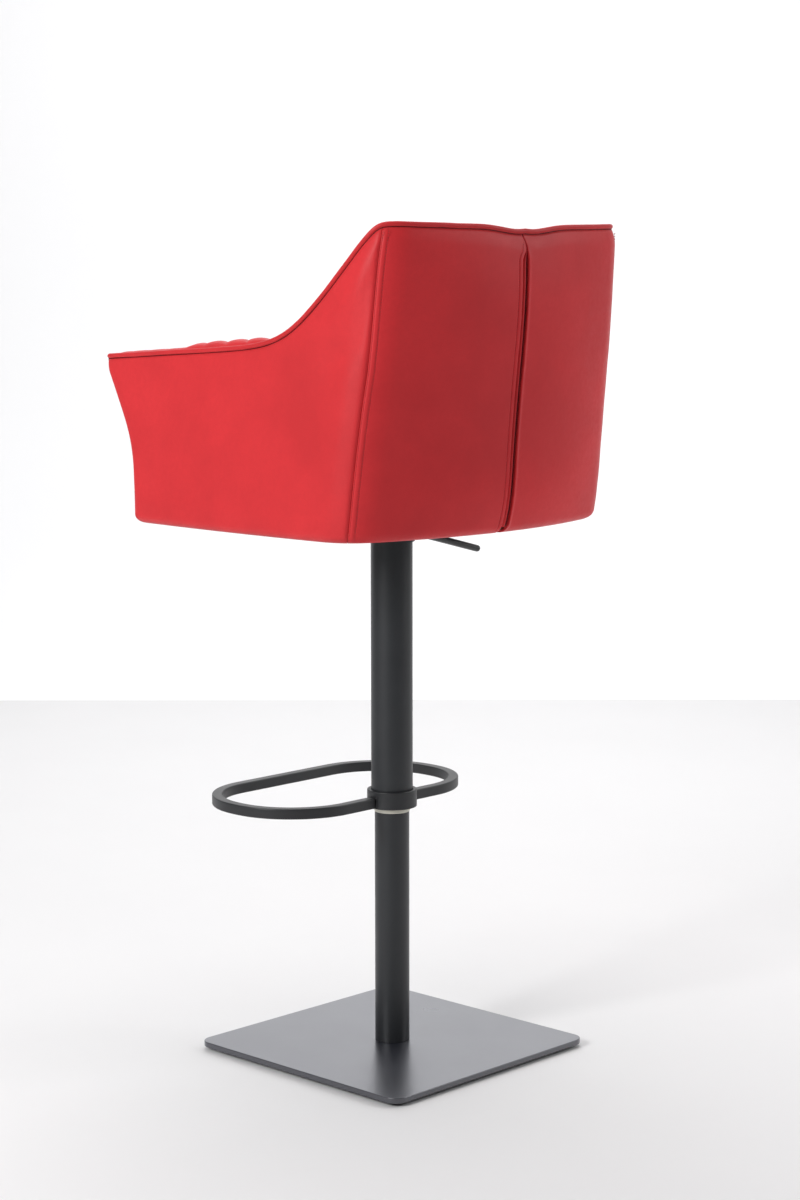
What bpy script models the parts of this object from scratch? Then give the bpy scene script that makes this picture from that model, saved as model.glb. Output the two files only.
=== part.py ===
"""Adjustable swivel stool: an upholstered tub seat on a telescopic column with a footrest hoop and a square base plate.
Metres, +Z up. The origin is on the floor under the column; the seat faces -Y. Rest is the highest setting."""

import math

import bmesh
import bpy
from mathutils import Matrix, Vector

for old in list(bpy.data.objects):
    bpy.data.objects.remove(old, do_unlink=True)

scene = bpy.context.scene
scene.unit_settings.system = "METRIC"
scene.unit_settings.scale_length = 1.0

parts = bpy.data.collections.new("swivel_stool")
scene.collection.children.link(parts)
helpers = bpy.data.collections.new("cutters")
scene.collection.children.link(helpers)

# ---------------------------------------------------------------- dimensions
PLATE = 0.400          # square base plate
PLATE_LOW, PLATE_TOP = 0.005, 0.013
R_LOW, R_UP, WALL = 0.025, 0.030, 0.002
TRAVEL = 0.210
LOW_TUBE_TOP = 0.505
UP_TUBE_LOW, UP_TUBE_TOP = 0.3598, 0.7442
SHELL_LOW = 0.771      # underside of the tub
DORSAL = 0.0005


# ---------------------------------------------------------------- materials
def paint(name, colour, rough, metal=0.0):
    mat = bpy.data.materials.new(name)
    mat.use_nodes = True
    node = mat.node_tree.nodes["Principled BSDF"]
    node.inputs["Base Color"].default_value = (*colour, 1.0)
    node.inputs["Roughness"].default_value = rough
    node.inputs["Metallic"].default_value = metal
    mat.diffuse_color = (*colour, 1.0)
    return mat


def anthracite(name):
    return paint(name, (0.030, 0.031, 0.034), 0.42, 0.25)


def red(name, shade=1.0):
    return paint(name, (0.62 * shade, 0.030 * shade, 0.035 * shade), 0.46)


def zinc(name):
    return paint(name, (0.62, 0.63, 0.64), 0.32, 1.0)


# ---------------------------------------------------------------- builders
def keep(obj, mat, group=parts):
    for coll in list(obj.users_collection):
        coll.objects.unlink(obj)
    group.objects.link(obj)
    if mat is not None:
        obj.data.materials.clear()
        obj.data.materials.append(mat)
    return obj


def from_bmesh(name, bm, mat, group=parts):
    bmesh.ops.recalc_face_normals(bm, faces=bm.faces)
    mesh = bpy.data.meshes.new(name)
    bm.to_mesh(mesh)
    bm.free()
    obj = bpy.data.objects.new(name, mesh)
    group.objects.link(obj)
    if mat is not None:
        mesh.materials.append(mat)
    return obj


def turned(name, profile, mat, steps=40, at=(0, 0, 0)):
    """A profile of (radius, height) points, listed down the outer side, spun about Z."""
    mesh = bpy.data.meshes.new(name)
    verts = [(r, 0.0, z) for r, z in profile]
    if profile[0][0] > 1e-7 or profile[-1][0] > 1e-7:
        edges = [(i, (i + 1) % len(verts)) for i in range(len(verts))]
    else:
        edges = [(i, i + 1) for i in range(len(verts) - 1)]
    mesh.from_pydata(verts, edges, [])
    obj = bpy.data.objects.new(name, mesh)
    parts.objects.link(obj)
    mesh.materials.append(mat)
    obj.location = at
    mod = obj.modifiers.new("turn", "SCREW")
    mod.axis = "Z"
    mod.steps = mod.render_steps = steps
    mod.use_merge_vertices = True
    mod.merge_threshold = 0.00001
    mod.use_smooth_shade = True
    return obj


def outline(name, loops, low, high, mat, bevel=0.0, group=parts, segments=2):
    """A flat plate from closed outlines: the first is the edge and the others are holes."""
    curve = bpy.data.curves.new(name, "CURVE")
    curve.dimensions = "2D"
    curve.fill_mode = "BOTH"
    curve.extrude = (high - low) / 2
    for loop in loops:
        spline = curve.splines.new("POLY")
        spline.points.add(len(loop) - 1)
        for point, (x, y) in zip(spline.points, loop):
            point.co = (x, y, 0.0, 1.0)
        spline.use_cyclic_u = True
    temp = bpy.data.objects.new(name + "_curve", curve)
    scene.collection.objects.link(temp)
    bpy.context.view_layer.update()
    graph = bpy.context.evaluated_depsgraph_get()
    mesh = bpy.data.meshes.new_from_object(temp.evaluated_get(graph))
    bpy.data.objects.remove(temp, do_unlink=True)
    bm = bmesh.new()
    bm.from_mesh(mesh)
    bmesh.ops.remove_doubles(bm, verts=bm.verts, dist=1e-6)
    bmesh.ops.dissolve_limit(bm, angle_limit=0.001, verts=bm.verts, edges=bm.edges)
    bmesh.ops.translate(bm, verts=bm.verts, vec=(0, 0, (low + high) / 2))
    obj = from_bmesh(name, bm, mat, group)
    if bevel:
        mod = obj.modifiers.new("edge", "BEVEL")
        mod.width = bevel
        mod.segments = segments
        mod.limit_method = "ANGLE"
        mod.angle_limit = math.radians(50)
    return obj


def rounded_rect(wide, deep, radius, n=6, cx=0.0, cy=0.0):
    loop = []
    for k, (sx, sy) in enumerate(((1, 1), (-1, 1), (-1, -1), (1, -1))):
        for i in range(n + 1):
            a = math.pi / 2 * (k + i / n)
            loop.append((cx + sx * (wide / 2 - radius) + radius * math.cos(a), cy + sy * (deep / 2 - radius) + radius * math.sin(a)))
    return loop


def cyl(name, radius, low, high, mat=None, at=(0, 0), segments=24, group=parts):
    bm = bmesh.new()
    bmesh.ops.create_cone(bm, cap_ends=True, segments=segments, radius1=radius, radius2=radius, depth=high - low)
    bmesh.ops.translate(bm, verts=bm.verts, vec=(at[0], at[1], (low + high) / 2))
    return from_bmesh(name, bm, mat, group)


def box(name, low, high, mat=None, bevel=0.0, group=parts, segments=2):
    bm = bmesh.new()
    bmesh.ops.create_cube(bm, size=1.0)
    size = [h - l for l, h in zip(low, high)]
    bmesh.ops.scale(bm, vec=size, verts=bm.verts)
    bmesh.ops.translate(bm, verts=bm.verts, vec=[(h + l) / 2 for l, h in zip(low, high)])
    obj = from_bmesh(name, bm, mat, group)
    if bevel:
        mod = obj.modifiers.new("edge", "BEVEL")
        mod.width = bevel
        mod.segments = segments
    return obj


def hide(obj):
    obj.hide_render = True
    obj.display_type = "WIRE"
    return obj


def cut(obj, cutters, operation="DIFFERENCE"):
    for k, cutter in enumerate(cutters):
        mod = obj.modifiers.new(f"cut_{k}", "BOOLEAN")
        mod.operation = operation
        mod.solver = "EXACT"
        mod.object = hide(cutter)


def loft(name, rings, mat, closed=False):
    """A closed solid through rings of equal length, capped at both ends unless it closes on itself."""
    bm = bmesh.new()
    rows = [[bm.verts.new(p) for p in ring] for ring in rings]
    n = len(rows[0])
    last = len(rows) if closed else len(rows) - 1
    for i in range(last):
        a, b = rows[i], rows[(i + 1) % len(rows)]
        for j in range(n):
            bm.faces.new((a[j], a[(j + 1) % n], b[(j + 1) % n], b[j]))
    if not closed:
        bm.faces.new(rows[0])
        bm.faces.new(rows[-1])
    return from_bmesh(name, bm, mat)


def tube(name, points, radius, mat, res=2):
    curve = bpy.data.curves.new(name, "CURVE")
    curve.dimensions = "3D"
    curve.bevel_depth = radius
    curve.bevel_resolution = res
    curve.use_fill_caps = True
    spline = curve.splines.new("POLY")
    spline.points.add(len(points) - 1)
    for point, co in zip(spline.points, points):
        point.co = (*co, 1.0)
    obj = bpy.data.objects.new(name, curve)
    parts.objects.link(obj)
    curve.materials.append(mat)
    return obj


# ---------------------------------------------------------------- the tub's form
def smooth(x):
    x = min(1.0, max(0.0, x))
    return x * x * (3 - 2 * x)


def half_width(z):
    return 0.2515 - 0.0165 * max(0.0, (z - 0.83) / 0.33) ** 1.3


def corner_back(z):
    return 0.1583 + 0.129 * (z - 0.77)


def mid_back(z):
    return 0.2140 + 0.0215 * (1 - math.exp(-(z - 0.77) / 0.05)) + 0.0190 * smooth((z - 0.86) / 0.27)


def front(z):
    return 0.2675 + 0.0112 * math.log1p(math.exp((z - 0.878) / 0.02))


def slope(y):
    """Height of the arms, and of the slope that climbs from them to the back."""
    return 1.0053 + 0.06 * (y + 0.333) + 0.98 * 0.028 * math.log1p(math.exp((y - 0.0562) / 0.028))


def rim(x, y):
    ramp = slope(y)
    crest = 1.1850 + 0.0025 * (min(abs(x), 0.22) / 0.22) ** 2 - 0.0052 * math.exp(-(((x - 0.004) / 0.046) ** 2))
    k = 0.004
    low = min(ramp, crest)
    return low - k * math.log(math.exp(-(ramp - low) / k) + math.exp(-(crest - low) / k))


BACK, TURN, SIDE, NOSE, RETURN = 0, 1, 2, 3, 4


def plan(section, u, z, inset=0.0, turn=0.042, flange=0.038, nose=0.010):
    """A point on the left half (+X) of the tub's outline at height z, moved in by inset.
    Sections run back centre, corner, side, front corner, front return, with u from 0 to 1 in each."""
    wide = half_width(z) + 0.010 - inset
    back = corner_back(z) + 0.010 - inset
    mid = mid_back(z) - inset
    fore = front(z) - inset
    fore_wide = half_width(z) + 0.002 - inset

    def on_back(x):
        return Vector((x, mid - (mid - back) * (x / wide) ** 2))

    def on_side(v):
        y = back + (-fore - back) * v
        x = wide + (fore_wide - wide) * v + 0.007 * 4 * v * (1 - v)
        return Vector((x, y))

    def bend(a, b, c, t):
        return a * (1 - t) ** 2 + b * 2 * t * (1 - t) + c * t**2

    length = back + fore
    if section == BACK:
        return on_back((wide - turn) * u)
    if section == TURN:
        return bend(on_back(wide - turn), Vector((wide, back)), on_side(turn / length), u)
    if section == SIDE:
        return on_side(turn / length + (1 - (turn + nose) / length) * u)
    tip = on_side(1.0)
    if section == NOSE:
        return bend(on_side(1 - nose / length), tip, tip + Vector((-nose, 0)), u)
    return tip + Vector((-nose - (flange - nose) * u, 0))


def stations(first, last, counts):
    """(section, u) pairs from one section to another, with the given count of steps in each."""
    found = []
    for section, count in zip(range(first, last + 1), counts):
        found += [(section, i / count) for i in range(count)]
    found.append((last, 1.0))
    return found


def rim_at(section, u, inset=0.0, **shape):
    z = 1.1
    for _ in range(40):
        p = plan(section, u, z, inset, **shape)
        q = plan(section, u, z)
        z = 0.5 * z + 0.5 * rim(q.x, q.y)
    return z


def rise(section, u):
    """How much taller a vertical step is than the same step square to the rim."""
    a, b = max(0.0, u - 0.01), min(1.0, u + 0.01)
    za, zb = rim_at(section, a), rim_at(section, b)
    run_length = (plan(section, a, za) - plan(section, b, zb)).length
    return math.sqrt(1 + ((zb - za) / max(run_length, 1e-6)) ** 2)


def low_round(h, r=0.012):
    return r - math.sqrt(max(0.0, r * r - max(0.0, r - h) ** 2))


def levels(low, top, rows):
    """Heights up a cover: close together where its foot rounds under and where its head tucks in."""
    base = low + 0.012
    return [low + 0.0008, low + 0.0045] + [base + (top - 0.022 - base) * i / rows for i in range(rows + 1)] + [top - 0.010, top]


def wall(name, first, last, counts, inset, thick, low, drop, mat, rows=10, mirror=False, start=0.0, rounded=False, inner_turn=None, lift=None, hem=0.0):
    """A curved wall between two inset outlines, from height low to the rim less drop."""
    rings = []
    where = [(first, start)] + [w for w in stations(first, last, counts) if w[0] > first or w[1] > start + 0.04]
    for section, u in where:
        top = rim_at(section, u) - drop * rise(section, u)
        if lift:
            top += lift(section, u)
        outer, inner = [], []
        heights = levels(low, top, rows)
        for z in heights:
            extra = low_round(z - low) if rounded else 0.0
            extra += 0.0030 * max(0.0, 1 - (top - z) / 0.022) ** 2
            p = plan(section, u, z, inset + extra)
            shape = {"turn": inner_turn} if inner_turn else {}
            q = plan(section, u, z, inset + thick + extra, **shape)
            outer.append(Vector((p.x, p.y, z)))
            inner.append(Vector((q.x, q.y, z)))
        if rounded:
            p = plan(section, u, low, 0.0140)
            hem_low = Vector((p.x, p.y, low))
            hem_top = Vector((p.x, p.y, low + thick))
            r = plan(section, u, low + thick, 0.0062)
            outer = [hem_low] + outer
            inner = [hem_top, Vector((r.x, r.y, low + thick))] + inner[2:]
        ring = outer + inner[::-1]
        if mirror:
            ring = [Vector((-v.x, v.y, v.z)) for v in ring]
        rings.append(ring)
    return loft(name, rings, mat)


# ---------------------------------------------------------------- base
plate = outline("base_plate", [rounded_rect(PLATE, PLATE, 0.020, 8)], PLATE_LOW, PLATE_TOP, anthracite("plate_paint"), bevel=0.0008, segments=1)
GLIDE_AT = 0.172
cuts = []
for k, (sx, sy) in enumerate(((1, 1), (-1, 1), (-1, -1), (1, -1))):
    cuts.append(cyl(f"cut_glide_{k}", 0.0042, PLATE_LOW - 0.002, PLATE_LOW + 0.0043, at=(sx * GLIDE_AT, sy * GLIDE_AT), segments=20, group=helpers))
    turned(
        f"glide_{k + 1}",
        [(0, PLATE_LOW + 0.004), (0.0038, PLATE_LOW + 0.004), (0.0038, PLATE_LOW - 0.0003), (0.0160, PLATE_LOW - 0.0003), (0.0168, PLATE_LOW - 0.0012), (0.0160, 0.0008), (0.0150, 0.0), (0, 0.0)],
        paint(f"glide_black_{k + 1}", (0.02, 0.02, 0.02), 0.6),
        steps=28,
        at=(sx * GLIDE_AT, sy * GLIDE_AT, 0),
    )
SCREWS = [(0.0155 * math.cos(math.radians(a)), 0.0155 * math.sin(math.radians(a))) for a in (90, 210, 330)]
for k, at in enumerate(SCREWS):
    cuts.append(cyl(f"cut_seat_{k}", 0.0048, PLATE_LOW - 0.002, PLATE_LOW + 0.0050, at=at, segments=20, group=helpers))
    cuts.append(cyl(f"cut_clear_{k}", 0.0029, PLATE_LOW + 0.002, PLATE_TOP + 0.002, at=at, segments=20, group=helpers))
    turned(
        f"column_screw_{k + 1}",
        [(0, 0.0310), (0.0025, 0.0310), (0.0025, PLATE_LOW + 0.0047), (0.0045, PLATE_LOW + 0.0047), (0.0045, PLATE_LOW + 0.0004), (0.0022, PLATE_LOW + 0.0004), (0.0022, PLATE_LOW + 0.0028), (0, PLATE_LOW + 0.0028)],
        zinc(f"screw_zinc_{k + 1}"),
        steps=20,
        at=(at[0], at[1], 0),
    )
cut(plate, cuts)

turned(
    "lower_tube",
    [(R_LOW, LOW_TUBE_TOP), (R_LOW, PLATE_TOP + 0.0003), (R_LOW - WALL, PLATE_TOP + 0.0003), (R_LOW - WALL, LOW_TUBE_TOP)],
    anthracite("lower_tube_paint"),
    steps=48,
)
foot = turned(
    "column_foot",
    [(0.0227, 0.0430), (0.0227, PLATE_TOP + 0.0003), (0.0100, PLATE_TOP + 0.0003), (0.0100, 0.0290), (0.0056, 0.0290), (0.0056, 0.0430)],
    zinc("foot_steel"),
    steps=36,
)
cut(foot, [cyl(f"cut_foot_{k}", 0.0028, 0.010, 0.0320, at=at, segments=16, group=helpers) for k, at in enumerate(SCREWS)])
turned("thrust_washer_lower", [(0.0140, 0.0448), (0.0140, 0.0433), (0.0060, 0.0433), (0.0060, 0.0448)], zinc("washer_low_steel"), steps=28)
turned(
    "tube_guide_ring",
    [(0.0276, 0.4990), (0.0276, 0.4750), (0.0253, 0.4750), (0.0253, 0.4990)],
    paint("guide_ring_nylon", (0.72, 0.70, 0.60), 0.5),
    steps=40,
)

# ---------------------------------------------------------------- spindle, turning on the foot
turned(
    "thrust_bearing",
    [(0.0128, 0.0490), (0.0135, 0.0483), (0.0135, 0.0458), (0.0128, 0.0451), (0.0067, 0.0451), (0.0060, 0.0458), (0.0060, 0.0483), (0.0067, 0.0490)],
    paint("bearing_brass", (0.55, 0.42, 0.16), 0.35, 1.0),
    steps=28,
)
turned("thrust_washer_upper", [(0.0140, 0.0508), (0.0140, 0.0493), (0.0060, 0.0493), (0.0060, 0.0508)], zinc("washer_up_steel"), steps=28)
turned(
    "piston_rod",
    [(0, 0.3600), (0.0112, 0.3600), (0.0112, 0.3480), (0.0050, 0.3480), (0.0050, 0.0541), (0.0090, 0.0541), (0.0090, 0.0511), (0.0050, 0.0511), (0.0050, 0.0257), (0.0038, 0.0257), (0.0038, 0.0238), (0.0050, 0.0238), (0.0050, 0.0205), (0.0042, 0.0195), (0, 0.0195)],
    paint("rod_chrome", (0.75, 0.75, 0.76), 0.12, 1.0),
    steps=24,
)
turned("bump_stop", [(0.0125, 0.0730), (0.0125, 0.0544), (0.0056, 0.0544), (0.0056, 0.0730)], paint("stop_rubber", (0.015, 0.015, 0.015), 0.8), steps=28)
turned("rod_washer", [(0.0090, 0.0284), (0.0090, 0.0262), (0.0054, 0.0262), (0.0054, 0.0284)], zinc("rod_washer_steel"), steps=24)
clip_loop = []
for i in range(21):
    a = math.radians(-150 + 300 * i / 20)
    clip_loop.append((0.0078 * math.cos(a), 0.0078 * math.sin(a)))
for i in range(21):
    a = math.radians(150 - 300 * i / 20)
    clip_loop.append((0.0041 * math.cos(a), 0.0041 * math.sin(a)))
outline("rod_clip", [clip_loop], 0.0242, 0.0254, zinc("clip_spring_steel"))

# ---------------------------------------------------------------- sliding column
turned(
    "upper_tube",
    [(R_UP, UP_TUBE_TOP), (R_UP, UP_TUBE_LOW), (R_UP - WALL, UP_TUBE_LOW), (R_UP - WALL, UP_TUBE_TOP)],
    anthracite("upper_tube_paint"),
    steps=48,
)
turned(
    "guide_bush",
    [(0.0277, 0.4200), (0.0277, 0.3594), (0.0266, 0.3586), (0.0260, 0.3540), (0.0256, 0.3530), (0.0253, 0.3530), (0.0253, 0.4200)],
    paint("bush_nylon", (0.70, 0.68, 0.58), 0.5),
    steps=48,
)
turned(
    "gas_cylinder",
    [(0.0029, 0.7520), (0.0128, 0.7520), (0.0134, 0.7400), (0.0140, 0.6600), (0.0140, 0.2900), (0.0130, 0.2885), (0.0054, 0.2885), (0.0054, 0.3180), (0.0120, 0.3180), (0.0120, 0.6000), (0.0029, 0.6040)],
    paint("cylinder_black", (0.02, 0.02, 0.022), 0.3, 0.4),
    steps=32,
)
collar_low, collar_high = 0.3600, 0.3855
turned(
    "footrest_collar",
    [(0.0350, collar_high), (0.0360, collar_high - 0.001), (0.0360, collar_low + 0.001), (0.0350, collar_low), (0.0303, collar_low), (0.0303, collar_high)],
    anthracite("collar_paint"),
    steps=48,
)

# The hoop: a square bar bent to a long oval. Its near straight runs up to the collar from both sides.
BAR = 0.015
HOOP_LONG, HOOP_NEAR, HOOP_FAR, HOOP_R = 0.410, -0.0045, 0.2290, 0.1120


def hoop_path(inset):
    """The hoop's outline from the collar's -X side round to its +X side, with forward as +v and the seat facing -Y."""
    radius = HOOP_R - inset
    a = HOOP_LONG / 2 - HOOP_R
    near, far = HOOP_NEAR + HOOP_R, HOOP_FAR - HOOP_R
    reach = math.sqrt(0.0370**2 - (HOOP_NEAR + inset) ** 2)
    path = [(-reach, HOOP_NEAR + inset)]
    corners = ((-a, near, -90), (-a, far, -180), (a, far, -270), (a, near, -360))
    for cx, cy, start in corners:
        for i in range(11):
            t = math.radians(start - 90 * i / 10)
            path.append((cx + radius * math.cos(t), cy + radius * math.sin(t)))
    path.append((reach, HOOP_NEAR + inset))
    return path


outer_path, inner_path = hoop_path(0.0), hoop_path(BAR)
hoop_loop = [(x, -v) for x, v in outer_path] + [(x, -v) for x, v in reversed(inner_path)]
outline("footrest_ring", [hoop_loop], 0.3618, 0.3768, anthracite("ring_paint"), bevel=0.0018, segments=2)

# ---------------------------------------------------------------- seat mechanism
mount = outline("seat_mount", [rounded_rect(0.190, 0.190, 0.015, 5)], 0.7715, 0.7743, paint("mount_black", (0.03, 0.03, 0.032), 0.45, 0.3))
hub = cyl("cut_hub", 0.0330, 0.7445, 0.7727, segments=40, group=helpers)
cut(mount, [hub], "UNION")
MOUNT_AT = 0.078
pocket = [
    cyl("cut_bore", 0.0145, 0.7400, 0.7530, segments=32, group=helpers),
    box("cut_channel", (-0.040, -0.0075, 0.7480), (-0.0170, 0.0075, 0.7670), group=helpers),
    box("cut_pocket", (-0.0175, -0.0075, 0.7525), (0.0130, 0.0075, 0.7670), group=helpers),
]
pin_hole = cyl("cut_pin", 0.0026, -0.0128, 0.0350, segments=16, group=helpers)
PIVOT = Vector((-0.022, 0.0, 0.7605))
pin_hole.matrix_world = Matrix.Translation(PIVOT) @ Matrix.Rotation(math.radians(90), 4, "X")
pocket.append(pin_hole)
for k, (sx, sy) in enumerate(((1, 1), (-1, 1), (-1, -1), (1, -1))):
    at = (sx * MOUNT_AT, sy * MOUNT_AT)
    pocket.append(cyl(f"cut_mount_{k}", 0.0033, 0.7650, 0.7780, at=at, segments=16, group=helpers))
    turned(
        f"mount_screw_{k + 1}",
        [(0, 0.7835), (0.0029, 0.7835), (0.0029, 0.7712), (0.0055, 0.7712), (0.0055, 0.7688), (0.0040, 0.7675), (0.0022, 0.7675), (0.0022, 0.7695), (0, 0.7695)],
        zinc(f"mount_screw_zinc_{k + 1}"),
        steps=20,
        at=(at[0], at[1], 0),
    )
cut(mount, pocket[:], "DIFFERENCE")
for mod, label in zip(mount.modifiers, range(99)):
    mod.name = f"step_{label}"

pin = cyl("lever_pivot", 0.0023, -0.0124, 0.0245, zinc("pivot_steel"), segments=16)
pin.matrix_world = Matrix.Translation(PIVOT) @ Matrix.Rotation(math.radians(90), 4, "X")

# The lever: a flattened inner end over the valve and a round handle that droops to the sitter's right.
lever_axis = bpy.data.objects.new("lever_axis", None)
parts.objects.link(lever_axis)
lever_axis.location = PIVOT
LEVER_TIP = Vector((-0.186, 0.0, 0.7180))
LEVER_ROOT = Vector((-0.0345, 0.0, 0.7567))


def lever_ring(centre, direction, wide, tall, n=16, power=1.0):
    side = Vector((0, 1, 0))
    up = direction.cross(side).normalized()
    ring = []
    for i in range(n):
        a = 2 * math.pi * (i + 0.5) / n
        c, s = math.cos(a), math.sin(a)
        k = 1.0 if power == 1.0 else 1.0 / max(abs(c), abs(s)) ** power
        ring.append(centre + side * (wide * c * k) + up * (tall * s * k))
    return ring


run = (LEVER_TIP - LEVER_ROOT).normalized()
flat = Vector((-1, 0, 0))
rings = [
    lever_ring(Vector((0.0085, 0, 0.7605)), flat, 0.0046, 0.0027, power=0.6),
    lever_ring(Vector((-0.0270, 0, 0.7605)), flat, 0.0046, 0.0027, power=0.6),
    lever_ring(Vector((-0.0310, 0, 0.7585)), (flat + run).normalized(), 0.0048, 0.0042, power=0.2),
    lever_ring(LEVER_ROOT + run * 0.006, run, 0.0050, 0.0050),
]
for i in range(1, 3):
    rings.append(lever_ring(LEVER_ROOT.lerp(LEVER_TIP, i / 3), run, 0.0050, 0.0050))
for i in range(5):
    a = math.pi / 2 * i / 5
    rings.append(lever_ring(LEVER_TIP + run * (-0.0050 + 0.0050 * math.sin(a)), run, 0.0050 * math.cos(a), 0.0050 * math.cos(a)))
lever = loft("release_lever", rings, paint("lever_black", (0.025, 0.025, 0.027), 0.38, 0.3))
eye = cyl("cut_lever_eye", 0.0000001 + 0.0026, -0.02, 0.02, segments=16, group=helpers)
eye.matrix_world = Matrix.Translation(PIVOT) @ Matrix.Rotation(math.radians(90), 4, "X")

valve = turned("valve_pin", [(0, 0.7568), (0.0020, 0.7568), (0.0024, 0.7560), (0.0024, 0.7300), (0, 0.7300)], zinc("valve_steel"), steps=16)

# ---------------------------------------------------------------- seat structure
def plan_loop(z, inset, fore, counts=(8, 6, 6), turn=0.042):
    """A closed outline of the tub at one height, cut off square at the front."""
    half = [plan(s, u, z, inset, turn=turn) for s, u in stations(BACK, SIDE, counts)]
    half = [p for p in half if p.y > -fore + 0.004]
    half.append(Vector((half[-1].x, -fore)))
    return [(p.x, p.y) for p in half] + [(-p.x, p.y) for p in reversed(half)][:-1]


board = outline("seat_board", [plan_loop(0.7740, 0.0112, 0.2380)], 0.7746, 0.7848, paint("board_plywood", (0.55, 0.38, 0.20), 0.7))
cut(board, [cyl(f"cut_board_{k}", 0.0032, 0.7650, 0.7840, at=(sx * MOUNT_AT, sy * MOUNT_AT), segments=16, group=helpers) for k, (sx, sy) in enumerate(((1, 1), (-1, 1), (-1, -1), (1, -1)))])
outline("dust_cover", [plan_loop(0.7710, 0.0200, 0.2300), rounded_rect(0.196, 0.196, 0.018, 5)], 0.7712, 0.7724, paint("dust_black", (0.02, 0.02, 0.02), 0.9))

# One bent shell of moulded plywood, left arm to right arm.
frame_rings = []
frame_where = [(s, u, 1) for s, u in reversed(stations(BACK, SIDE, (8, 6, 16)))] + [(s, u, -1) for s, u in stations(BACK, SIDE, (8, 6, 16))[1:]]
for section, u, sign in frame_where:
    if section == SIDE and u > 0.999:
        u = 0.985
    top = rim_at(section, u) - 0.0050 * rise(section, u)
    ring = []
    for inset in (0.0036, 0.0142):
        row = []
        for z in [0.7852 + (top - 0.020 - 0.7852) * i / 6 for i in range(7)] + [top - 0.008, top]:
            tuck = 0.0032 * max(0.0, 1 - (top - z) / 0.020) ** 2
            p = plan(section, u, z, inset + tuck)
            row.append(Vector((sign * p.x, p.y, z)))
        ring += row if inset < 0.01 else row[::-1]
    frame_rings.append(ring)
loft("shell_frame", frame_rings, paint("frame_plywood", (0.50, 0.34, 0.18), 0.7))

# ---------------------------------------------------------------- upholstery: plain solids of the right size
GAP_X = 0.0014
for side, mirror in (("left", False), ("right", True)):
    rings = []
    wall(f"side_cover_{side}", TURN, RETURN, (6, 16, 4, 1), 0.0, 0.0030, SHELL_LOW, 0.0042, red(f"side_{side}_leather"), rows=6, mirror=mirror, rounded=True, start=0.52)


def back_cover(name, mirror):
    rings = []
    where = [(BACK, (GAP_X + 0.0) / 0.2)] + stations(BACK, TURN, (8, 6))[1:-3]
    where = [w for w in where if not (w[0] == TURN and w[1] > 0.47)] + [(TURN, 0.48)]
    for section, u in where:
        top = rim_at(section, u) - 0.0042 * rise(section, u)
        heights = levels(SHELL_LOW, top, 6)
        outer, inner = [], []
        for z in heights:
            extra = low_round(z - SHELL_LOW) + 0.0030 * max(0.0, 1 - (top - z) / 0.022) ** 2
            p = plan(section, u, z, extra)
            q = plan(section, u, z, extra + 0.0030)
            outer.append(Vector((p.x, p.y, z)))
            inner.append(Vector((q.x, q.y, z)))
        p = plan(section, u, SHELL_LOW, 0.0140)
        r = plan(section, u, SHELL_LOW + 0.003, 0.0062)
        outer = [Vector((p.x, p.y, SHELL_LOW))] + outer
        inner = [Vector((p.x, p.y, SHELL_LOW + 0.003)), Vector((r.x, r.y, SHELL_LOW + 0.003))] + inner[2:]
        ring = outer + inner[::-1]
        rings.append([Vector((-v.x, v.y, v.z)) for v in ring] if mirror else ring)
    return loft(name, rings, red(name + "_leather", 0.8))


back_cover("back_cover_left", False)
back_cover("back_cover_right", True)


def pad(name, where, sign, mat, inset=0.0154, thick=0.030, low=0.7852, lift=0.004):
    """A pad's top follows the rim at its own distance from the wall, so that it stays behind the welt on the slope."""
    rings = []
    for section, u, side in where:
        top = rim_at(section, u) + lift * rise(section, u)
        outer, inner = [], []

        def lowered(p, z):
            over = max(0.0, top - lift * rise(section, u) - slope(p.y))
            return z - over * smooth((z - (top - 0.105)) / 0.080)

        for z in [low + (top - 0.026 - low) * i / 5 for i in range(6)] + [top - 0.013, top - 0.005, top]:
            tuck = 0.0036 * min(1.0, max(0.0, 1 - (top - 0.0088 - z) / 0.020)) ** 2 if z < top - 0.003 else 0.0052
            grow = thick * (1.0 - 0.45 * max(0.0, 1 - (top - z) / 0.012))
            p = plan(section, u, z, inset + tuck)
            q = plan(section, u, z, inset + max(grow, 0.010), turn=0.062)
            zp, zq = lowered(p, z), lowered(q, z)
            p = plan(section, u, zp, inset + tuck)
            q = plan(section, u, zq, inset + max(grow, 0.010), turn=0.062)
            outer.append(Vector((side * p.x, p.y, zp)))
            inner.append(Vector((side * q.x, q.y, zq)))
        rings.append(outer + inner[::-1])
    return loft(name, rings, mat)


arm_where = [(TURN, 0.53)] + [w for w in stations(TURN, SIDE, (6, 16)) if not (w[0] == TURN and w[1] < 0.6)]
arm_where = [(s, min(u, 0.985) if s == SIDE else u) for s, u in arm_where]
pad("arm_pad_left", [(s, u, 1) for s, u in arm_where], 1, red("arm_pad_left_leather"))
pad("arm_pad_right", [(s, u, -1) for s, u in arm_where], -1, red("arm_pad_right_leather"))
back_half = [(BACK, i / 8) for i in range(8)] + [(TURN, u) for u in (0.0, 0.17, 0.34, 0.50)]
pad("back_pad", [(s, u, 1) for s, u in reversed(back_half)] + [(s, u, -1) for s, u in back_half[1:]], 1, red("back_pad_leather"))

outline("seat_cushion", [plan_loop(0.7860, 0.0480, 0.2580, turn=0.062)], 0.7853, 0.8680, red("cushion_leather"), bevel=0.016, segments=3)
panel = box("front_cover", (-0.2085, -0.2645, 0.7690), (0.2085, -0.2605, 0.8380), red("front_leather"), bevel=0.0015, segments=2)

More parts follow.
